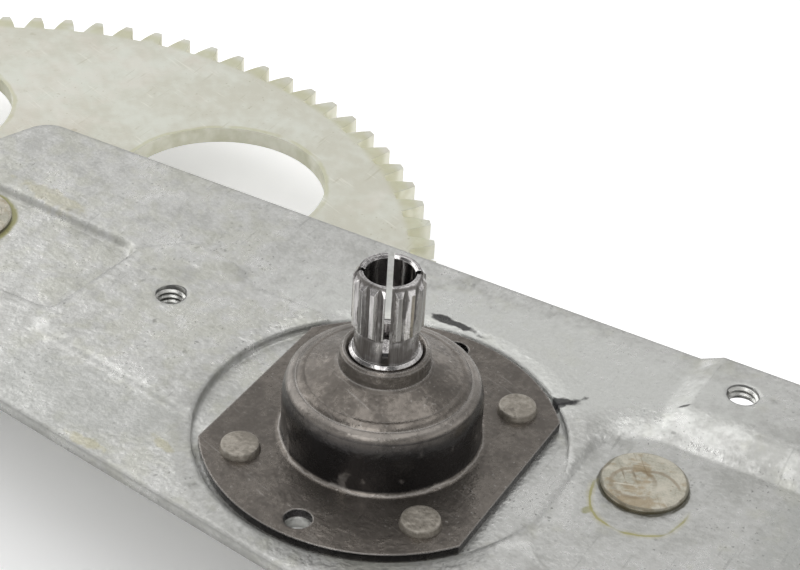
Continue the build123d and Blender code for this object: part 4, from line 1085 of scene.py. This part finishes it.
@dataclass
class PressedPlate:
    """The base plate with its tapped holes and grease marks.

    Attributes:
        head_radius: radius of the right stud's head.
        left_head_radius: radius of the left stud's head.
        smear_centre: middle of the grease arc beside the right head.
        smear_radius: radius of that arc.
        field_outlines: outlines of the soft panel between the left end and the seat.
        painted_light_patch: painted light, brighter zinc behind the drum where the drum and shaft shade the
            plate.
        dull_right: duller zinc at the right end.
        dull_left: duller zinc at the left end.
        shaft_smudge: dark smudge behind the shaft.
        grease_blot: blot at the left of the grease arc.
        flange_smudge: dark smudge at the flange's corner.
        near_stain: stain near the front edge.
        small_stain: smaller stain beside it.
        pivot_stain: stain at the left stud.
        flange_streak: dark streak along the flange.
        hooked_scratch: short dark scratch on the right panel.
    """

    head_radius: float = RIGHT_HEAD_RADIUS
    left_head_radius: float = 8.2 * MM
    smear_centre: Point = (0.0389, 0.0082, 0.0)
    smear_radius: float = 7.35 * MM
    field_outlines: Tuple[Tuple[Tuple[float, float], ...], ...] = (
        ((-0.0600, -0.0070), (-0.0220, -0.0130), (-0.0200, 0.0205), (-0.0576, 0.0200)),
        ((-0.0576, 0.0190), (-0.0360, 0.0190), (-0.0420, 0.0245), (-0.0510, 0.0260)),
    )
    # Painted light: a brighter patch of zinc behind the drum, where the drum and shaft shade the plate.
    painted_light_patch: Spot = Spot((0.010, 0.030, 0.0), (0.050, 0.014, 0.010), PAINTED_LIGHT_ZINC, -0.1, 0.4, 0.5)
    dull_right: Spot = Spot((0.078, 0.012, 0.0), (0.026, 0.030, 0.010), DULL_ZINC, 0.0, 0.4, 0.5)
    dull_left: Spot = Spot((-0.050, -0.020, 0.0), (0.030, 0.012, 0.010), DULL_ZINC, -0.2, 0.4, 0.3)
    shaft_smudge: Spot = Spot((-0.004, 0.0302, 0.0), (0.0062, 0.0011, 0.004), SMUDGE_AND_SHADE, 0.06, 0.85, 0.9)
    grease_blot: Spot = Spot((0.0331, 0.0025, 0.0), (0.0008, 0.0014, 0.004), GREASE, 0.3, 0.8, 0.6)
    flange_smudge: Spot = Spot((0.0195, 0.0215, 0.0), (0.0036, 0.0012, 0.004), SMUDGE_AND_SHADE, -0.5, 0.9, 0.9)
    near_stain: Spot = Spot((-0.036, -0.0255, 0.0), (0.0045, 0.0012, 0.004), CHROME_STAIN, 0.1, 0.9, 0.4)
    small_stain: Spot = Spot((-0.026, -0.020, 0.0), (0.003, 0.001, 0.004), CHROME_STAIN, 0.4, 0.9, 0.35)
    pivot_stain: Spot = Spot((-0.0792, 0.0240, 0.0), (0.009, 0.0025, 0.006), CHROME_STAIN, 0.2, 0.85, 0.3)
    flange_streak: Spot = Spot((0.0185, 0.0185, 0.0), (0.0085, 0.0007, 0.004), SMUDGE_AND_SHADE, -0.95, 0.95, 0.75)
    hooked_scratch: Spot = Spot((0.0370, 0.0295, 0.0), (0.0019, 0.0004, 0.004), SMUDGE_AND_SHADE, -0.35, 0.8, 0.8)

    def finish(self) -> Finish:
        """Zinc finish with the marks that use leaves on the plate.

        Returns:
            The plate's finish.
        """
        right = tuple(joint_point("auxiliary_arm_hinge"))
        left = tuple(joint_point("main_arm_hinge"))
        holes = [mount(f"{side}_thread") for side in ("left", "right")]
        rings = (
            Ring(right, self.head_radius + 0.15 * MM, 0.35 * MM, GREASE_DARK, gaps=0.38),
            Ring(self.smear_centre, self.smear_radius, 0.3 * MM, GREASE, gaps=0.43, strength=0.9, half=1.0),
            Ring(
                self.smear_centre,
                self.smear_radius,
                0.9 * MM,
                CHROME_STAIN,
                gaps=0.45,
                strength=0.35,
                half=1.0,
            ),
            Ring(left, self.left_head_radius + 0.4 * MM, 1.0 * MM, GREASE, gaps=0.30),
            # Painted shade: a dark ring on the walls of both tapped holes darkens them inside.
            *(
                Ring(
                    tuple(hole["pos_m"]),
                    hole["dims"]["r_mm"] * MM,
                    0.22 * MM,
                    SMUDGE_AND_SHADE,
                    gaps=0.0,
                    strength=0.75,
                )
                for hole in holes
            ),
        )
        return Finish(
            slot=Slot.ZINC,
            light=(0.61, 0.61, 0.59),
            dark=(0.41, 0.41, 0.39),
            speck=(0.14, 0.14, 0.13),
            edge=(0.66, 0.67, 0.65),
            metallic=0.88,
            roughness=(0.27, 0.42),
            mottle_scale=60.0,
            glint_share=0.2,
            speck_share=0.42,
            blot_share=0.10,
            scratch_strength=0.3,
            edge_radius=0.0014,
            edge_strength=0.12,
            grain_strength=0.3,
            # Painted shade: the plate's steep walls and cut edges are darkened.
            painted_side_shading_colour=(0.30, 0.30, 0.28),
            painted_side_shading_strength=0.35,
            painted_side_shading_start=0.35,
            stain_strength=0.22,
            reliefs=(
                Plateau(self.field_outlines, 3.6 * MM, 0.3 * MM),
                Dish((0.0, 0.0, 0.0), 28.3 * MM, 31.8 * MM, 0.36 * MM),
            ),
            spots=(
                self.painted_light_patch,
                self.dull_right,
                self.dull_left,
                self.shaft_smudge,
                self.grease_blot,
                self.flange_smudge,
                self.near_stain,
                self.small_stain,
                self.pivot_stain,
                self.flange_streak,
                self.hooked_scratch,
            ),
            rings=rings,
        )

    def build(self) -> None:
        """Dresses the plate and cuts its threads."""
        dress("base_plate", self.finish().build("_plate"))
        # Painted light: the thread crests get a paler copy of the plate's zinc, as if they catch the light,
        # while the hole walls are painted dark.
        material = Finish(
            slot=Slot.ZINC,
            light=(0.74, 0.74, 0.71),
            dark=(0.52, 0.52, 0.49),
            speck=(0.2, 0.2, 0.18),
            edge=(0.85, 0.85, 0.82),
            metallic=0.9,
            roughness=(0.25, 0.4),
        ).build("_lit_threads")
        for side in ("left", "right"):
            ThreadCrest(f"{side}_thread_crest", mount(f"{side}_thread")).build(material)


@dataclass
class PivotStuds:
    """Large headed studs, washers and spacer.

    Attributes:
        head_radius: radius of the right stud's head.
        streak: middle of the brown streak on that head, from its axis.
        streak_radii: half its length, width and depth.
        swirls: offset, radius, half width, gaps and strength of the brown arcs.
    """

    head_radius: float = RIGHT_HEAD_RADIUS
    streak: Point = (-2.8 * MM, 2.2 * MM, 0.0)
    streak_radii: Point = (2.8 * MM, 0.4 * MM, 4.0 * MM)
    swirls: Tuple[Tuple[Point, float, float, float, float], ...] = (
        ((-1.2 * MM, -1.4 * MM, 0.0), 3.3 * MM, 0.55 * MM, 0.52, 0.6),
        ((1.6 * MM, -2.2 * MM, 0.0), 4.9 * MM, 0.4 * MM, 0.53, 0.55),
    )

    def build(self) -> None:
        """Dresses studs and washers."""
        head = joint_point("auxiliary_arm_hinge")
        beige = Finish(
            slot=Slot.STUD,
            light=(0.52, 0.49, 0.41),
            dark=(0.34, 0.33, 0.27),
            speck=(0.15, 0.11, 0.06),
            edge=(0.62, 0.58, 0.49),
            metallic=0.35,
            roughness=(0.38, 0.55),
            mottle_scale=140.0,
            speck_share=0.5,
            scratch_strength=0.8,
            scratch_turn=-0.35,
            edge_radius=0.0004,
            grain_strength=0.3,
            # Painted shade: the upright side of the stud heads is darkened.
            painted_side_shading_colour=(0.06, 0.055, 0.025),
            painted_side_shading_strength=0.75,
            stain=(0.26, 0.18, 0.08),
            stain_strength=0.6,
            spots=(
                Spot(tuple(head + Vector(self.streak)), self.streak_radii, RUST, 0.25, 0.9, 0.6),
            ),
            rings=(
                *(
                    Ring(tuple(head + Vector(offset)), radius, width, RUST, gaps=gaps, strength=strength)
                    for offset, radius, width, gaps, strength in self.swirls
                ),
                Ring(
                    tuple(head),
                    self.head_radius - 0.1 * MM,
                    0.35 * MM,
                    GREASE_DARK,
                    gaps=0.35,
                    strength=0.6,
                ),
            ),
        ).build()
        washer = Finish(
            slot=Slot.CHROMATE,
            light=(0.64, 0.62, 0.50),
            dark=(0.52, 0.50, 0.38),
            speck=(0.22, 0.2, 0.12),
            edge=(0.75, 0.74, 0.66),
            metallic=0.5,
            mottle_scale=90.0,
        ).build("_washers")
        dress("pivot_studs", beige)
        for node in ("thrust_washer", "auxiliary_spacer", "pivot_washers"):
            dress(node, washer)


@dataclass
class CrankDrive:
    """Brake drum, shaft, spring and pinion.

    Attributes:
        painted_highlight_rings: radius, half width and strength of the drum's painted highlight rings, round
            its rolled shoulder and at its foot.
        painted_drum_shade_reach: radius outside which upright faces are the drum's wall, which is painted
            dark as shade.
        flute_grease_and_shade_radius: radius of the grease and painted shade between the shaft's splines.
        slot_foot_shade: painted shade, a dark patch at the foot of the shaft's front slot.
        slot_foot_shade_radii: half its length, width and height.
    """

    painted_highlight_rings: Tuple[Tuple[float, float, float], ...] = (
        (13.8 * MM, 0.9 * MM, 0.22),
        (15.3 * MM, 0.2 * MM, 0.4),
    )
    painted_drum_shade_reach: float = 13.8 * MM
    flute_grease_and_shade_radius: float = 4.62 * MM
    slot_foot_shade: Point = (2.0 * MM, -3.8 * MM, 17.2 * MM)
    slot_foot_shade_radii: Point = (1.1 * MM, 1.3 * MM, 3.0 * MM)

    def build(self) -> None:
        """Dresses the crank's pieces."""
        dark = Finish(
            slot=Slot.DARK,
            light=(0.206, 0.184, 0.163),
            dark=(0.108, 0.096, 0.084),
            speck=(0.028, 0.024, 0.02),
            edge=(0.40, 0.38, 0.36),
            metallic=0.8,
            roughness=(0.2, 0.34),
            # Painted shade: the drum's upright wall is darkened almost to black; the collar inside the reach
            # is left out.
            painted_side_shading_colour=(0.026, 0.025, 0.027),
            painted_side_shading_strength=0.9,
            painted_side_shading_start=0.62,
            painted_side_shading_reach=self.painted_drum_shade_reach,
            glint_share=0.42,
            edge_radius=0.0004,
            mottle_scale=70.0,
            speck_scale=1800.0,
            speck_share=0.30,
            edge_strength=0.8,
            grain_strength=0.22,
            # Painted highlights: bright rings round the drum's rolled shoulder and at its foot.
            rings=tuple(
                Ring((0.0, 0.0, 0.0), radius, width, PAINTED_HIGHLIGHT_STEEL, gaps=0.2, strength=strength)
                for radius, width, strength in self.painted_highlight_rings
            ),
        ).build()
        rivet = Finish(
            slot=Slot.RIVET,
            light=(0.36, 0.33, 0.285),
            dark=(0.20, 0.18, 0.15),
            speck=(0.05, 0.04, 0.03),
            edge=(0.46, 0.43, 0.38),
            metallic=0.6,
            roughness=(0.36, 0.52),
            edge_radius=0.0006,
            edge_strength=0.35,
            mottle_scale=260.0,
            grain_scale=700.0,
            grain_strength=0.5,
        ).build()
        # Painted reflection: the shaft's light and dark clouds are drawn out along its length into bright
        # and dark streaks.
        bright = Finish(
            slot=Slot.BRIGHT,
            light=(0.66, 0.64, 0.63),
            dark=(0.19, 0.18, 0.18),
            speck=(0.05, 0.04, 0.035),
            edge=(0.92, 0.91, 0.89),
            metallic=1.0,
            roughness=(0.12, 0.24),
            mottle_scale=330.0,
            stretch=(1.0, 1.0, 0.07),
            speck_share=0.15,
            rings=(
                # Grease and painted shade: darkens the roots between the splines, and the neck journal at
                # the same radius.
                Ring((0.0, 0.0, 0.0), self.flute_grease_and_shade_radius, 0.28 * MM, FLUTE_GREASE_AND_SHADE, gaps=0.15, strength=0.85),
            ),
            # Painted shade at the foot of the shaft's front slot.
            spots=(Spot(self.slot_foot_shade, self.slot_foot_shade_radii, SMUDGE_AND_SHADE, ragged=0.2, strength=0.95),),
            edge_radius=0.00012,
            edge_strength=0.9,
            grain_strength=0.08,
        ).build()
        spring = Finish(
            slot=Slot.SPRING,
            light=(0.2, 0.19, 0.18),
            dark=(0.11, 0.1, 0.095),
            speck=(0.04, 0.035, 0.03),
            edge=(0.4, 0.39, 0.37),
            metallic=0.9,
            roughness=(0.25, 0.4),
        ).build()
        for node, material, slot in (
            ("crank_housing", dark, Slot.DARK),
            ("pinion_gear", dark, Slot.DARK),
            ("housing_rivets", rivet, Slot.RIVET),
            ("arm_rivets", rivet, Slot.RIVET),
            ("crank_shaft", bright, Slot.BRIGHT),
            ("pinion_washer", bright, Slot.BRIGHT),
            ("brake_spring", spring, Slot.SPRING),
            ("pinion_ring", spring, Slot.SPRING),
            ("main_rail_ring", spring, Slot.SPRING),
            ("auxiliary_rail_ring", spring, Slot.SPRING),
        ):
            dress(node, material)


@dataclass
class Linkage:
    """Sector, arms, rail pins and lift bracket.

    Attributes:
        root_radius: radius of the tooth roots.
        hole_radius: radius of the sector's round holes.
        hole_offsets: their middles, from the pivot.
    """

    root_radius: float = 78.3 * MM
    hole_radius: float = 19.3 * MM
    hole_offsets: Tuple[Point, ...] = ((0.02603, 0.04009, 0.0), (-0.03736, 0.02982, 0.0))

    def build(self) -> None:
        """Dresses the moving linkage."""
        pivot = joint_point("main_arm_hinge")
        chromate = Finish(
            slot=Slot.CHROMATE,
            light=(0.61, 0.62, 0.55),
            dark=(0.54, 0.53, 0.45),
            speck=(0.33, 0.31, 0.2),
            edge=(0.80, 0.79, 0.72),
            metallic=0.25,
            roughness=(0.45, 0.6),
            mottle_scale=26.0,
            blot_share=0.04,
            speck_share=0.2,
            # Painted light: the sector's upright tooth flanks, hole walls and cut edges are lightened to a
            # pale cream.
            painted_side_shading_colour=(0.94, 0.93, 0.80),
            painted_side_shading_strength=0.95,
            stain=(0.68, 0.61, 0.55),
            stain_strength=0.25,
            rings=(
                Ring(tuple(pivot), self.root_radius, 2.4 * MM, OLIVE, gaps=0.42, strength=0.42),
                *(
                    Ring(
                        tuple(pivot + Vector(offset)),
                        self.hole_radius,
                        0.7 * MM,
                        OLIVE,
                        gaps=0.42,
                        strength=0.4,
                    )
                    for offset in self.hole_offsets
                ),
            ),
        ).build("_sector")
        zinc = Finish(
            slot=Slot.ZINC,
            light=(0.56, 0.57, 0.55),
            dark=(0.42, 0.43, 0.41),
            speck=(0.16, 0.16, 0.15),
            edge=(0.72, 0.73, 0.71),
        ).build("_arms")
        pin = Finish(
            slot=Slot.STUD,
            light=(0.60, 0.56, 0.48),
            dark=(0.45, 0.42, 0.35),
            speck=(0.2, 0.16, 0.1),
            edge=(0.7, 0.66, 0.58),
            metallic=0.45,
        ).build("_pins")
        bush = Finish(
            slot=Slot.BUSH,
            light=(0.72, 0.70, 0.63),
            dark=(0.62, 0.60, 0.52),
            speck=(0.3, 0.28, 0.2),
            edge=(0.78, 0.76, 0.7),
            metallic=0.0,
            roughness=(0.45, 0.6),
        ).build()
        for node, material, slot in (
            ("sector_gear", chromate, Slot.CHROMATE),
            ("main_rail_washer", chromate, Slot.CHROMATE),
            ("auxiliary_rail_washer", chromate, Slot.CHROMATE),
            ("main_arm", zinc, Slot.ZINC),
            ("auxiliary_arm", zinc, Slot.ZINC),
            ("lift_bracket", zinc, Slot.ZINC),
            ("main_rail_pin", pin, Slot.STUD),
            ("auxiliary_rail_pin", pin, Slot.STUD),
            ("bracket_bushes", bush, Slot.BUSH),
        ):
            dress(node, material)


@dataclass(frozen=True)
class Lamp:
    """One soft square lamp.

    Attributes:
        name: its name.
        place: where it hangs.
        turn: its rotation in degrees.
        size: edge length.
        watts: its power.
    """

    name: str
    place: Point
    turn: Point
    size: float
    watts: float

    def build(self) -> None:
        """Hangs the lamp."""
        data = bpy.data.lights.new(self.name, "AREA")
        data.size = self.size
        data.energy = self.watts
        lamp = bpy.data.objects.new(self.name, data)
        lamp.location = self.place
        lamp.rotation_euler = [radians(angle) for angle in self.turn]
        bpy.context.scene.collection.objects.link(lamp)
        LOG.info("lamp %s, %.1f W", self.name, self.watts)


@dataclass
class Studio:
    """Floor, lamps, surroundings and camera.

    Attributes:
        floor_size: edge length of the floor.
        floor_tones: its two tones.
        floor_cloud_scale: scale of their clouds.
        floor_roughness: its roughness.
        glow_range: where the floor's glow starts and is full, along Y.
        glow: strength of the full glow, seen by the camera only.
        horizon: height and strength of the surroundings near the horizon.
        zenith: height and strength of the surroundings overhead.
        camera_location: where the camera stands.
        camera_turn: its rotation in degrees.
        camera_lens: its focal length in millimetres.
        camera_near: nearest distance that it sees.
        lamps: the lamps.
    """

    floor_size: float = 6.0
    floor_tones: Tuple[Colour, Colour] = ((0.90, 0.90, 0.90), (0.92, 0.92, 0.92))
    floor_cloud_scale: float = 3.0
    floor_roughness: float = 0.7
    glow_range: Tuple[float, float] = (-0.10, 0.10)
    glow: float = 0.32
    horizon: Tuple[float, float] = (0.15, 0.75)
    zenith: Tuple[float, float] = (0.8, 0.12)
    camera_location: Point = (0.11077, -0.21046, 0.1961)
    camera_turn: Point = (54.563, -2.939, 29.49)
    camera_lens: float = 92.342
    camera_near: float = 0.01
    lamps: Tuple[Lamp, ...] = (
        Lamp("lamp_overhead", (0.0, 0.05, 0.9), (-3.0, 0.0, 0.0), 1.0, 4.2),
        Lamp("lamp_back", (-0.25, 0.75, 0.55), (-55.0, 0.0, 18.0), 1.0, 1.4),
        Lamp("lamp_left", (-0.8, 0.15, 0.45), (0.0, -60.0, -10.0), 0.9, 3.4),
        Lamp("lamp_right", (0.8, 0.15, 0.45), (0.0, 60.0, 10.0), 0.9, 1.2),
        Lamp("lamp_front", (0.10, -0.62, 0.62), (43.0, 0.0, 8.0), 0.5, 1.9),
    )

    def build(self) -> None:
        """Sets up the whole studio."""
        self.floor()
        self.surroundings()
        for lamp in self.lamps:
            lamp.build()
        self.camera()

    def floor_finish(self) -> bpy.types.Material:
        """Makes the pale floor's material, which glows a little for the camera.

        Returns:
            The material.
        """
        material = bpy.data.materials.new("studio_floor")
        material.use_nodes = True
        material.node_tree.nodes.clear()
        canvas = Canvas(material.node_tree)
        place = canvas.add("ShaderNodeTexCoord").outputs["Object"]
        inputs = {"Vector": place, "Scale": self.floor_cloud_scale}
        cloud = canvas.effect(Effect.MOTTLE, inputs).outputs["Value"]
        rays = canvas.add("ShaderNodeLightPath")
        across = canvas.add("ShaderNodeSeparateXYZ", {0: place}).outputs[1]
        glow = canvas.remap(across, *self.glow_range, 0.0, self.glow)
        shader = canvas.add(
            "ShaderNodeBsdfPrincipled",
            {
                "Base Color": canvas.mix(cloud, *self.floor_tones),
                "Roughness": self.floor_roughness,
                "Emission Color": (1.0, 1.0, 1.0, 1.0),
                "Emission Strength": canvas.maths("MULTIPLY", rays.outputs["Is Camera Ray"], glow),
            },
        )
        canvas.add("ShaderNodeOutputMaterial", {"Surface": shader.outputs[0]})
        return material

    def floor(self) -> None:
        """Lays the floor under the lowest point of the object."""
        level = SOLID_BOUNDS[0][2]
        half = self.floor_size / 2
        corners = [(-half, -half, level), (half, -half, level), (half, half, level), (-half, half, level)]
        mesh = bpy.data.meshes.new("floor")
        mesh.from_pydata(corners, [], [(0, 1, 2, 3)])
        mesh.materials.append(self.floor_finish())
        floor = bpy.data.objects.new("floor", mesh)
        bpy.context.scene.collection.objects.link(floor)
        LOG.info("floor at %.4f", level)

    def surroundings(self) -> None:
        """Lights the room evenly, darker overhead than near the horizon."""
        world = bpy.data.worlds.new("room")
        bpy.context.scene.world = world
        world.use_nodes = True
        world.node_tree.nodes.clear()
        canvas = Canvas(world.node_tree)
        direction = canvas.add("ShaderNodeTexCoord").outputs["Generated"]
        height = canvas.add("ShaderNodeSeparateXYZ", {0: direction}).outputs[2]
        shade = canvas.remap(height, self.horizon[0], self.zenith[0], self.horizon[1], self.zenith[1])
        inputs = {"Color": (1.0, 1.0, 1.0, 1.0), "Strength": shade}
        background = canvas.add("ShaderNodeBackground", inputs)
        canvas.add("ShaderNodeOutputWorld", {"Surface": background.outputs[0]})
        LOG.info("surroundings")

    def camera(self) -> None:
        """Places the camera."""
        data = bpy.data.cameras.new("camera")
        data.lens = self.camera_lens
        data.clip_start = self.camera_near
        camera = bpy.data.objects.new("camera", data)
        camera.location = self.camera_location
        camera.rotation_euler = [radians(angle) for angle in self.camera_turn]
        bpy.context.scene.collection.objects.link(camera)
        bpy.context.scene.camera = camera
        bpy.context.scene.view_settings.view_transform = "Standard"
        LOG.info("camera")


def main() -> None:
    """Builds the regulator's finishes and the studio, in order."""
    logging.basicConfig(level=logging.INFO, format="%(name)s: %(message)s")
    PressedPlate().build()
    PivotStuds().build()
    CrankDrive().build()
    Linkage().build()
    Studio().build()


if __name__ == "__main__":
    main()
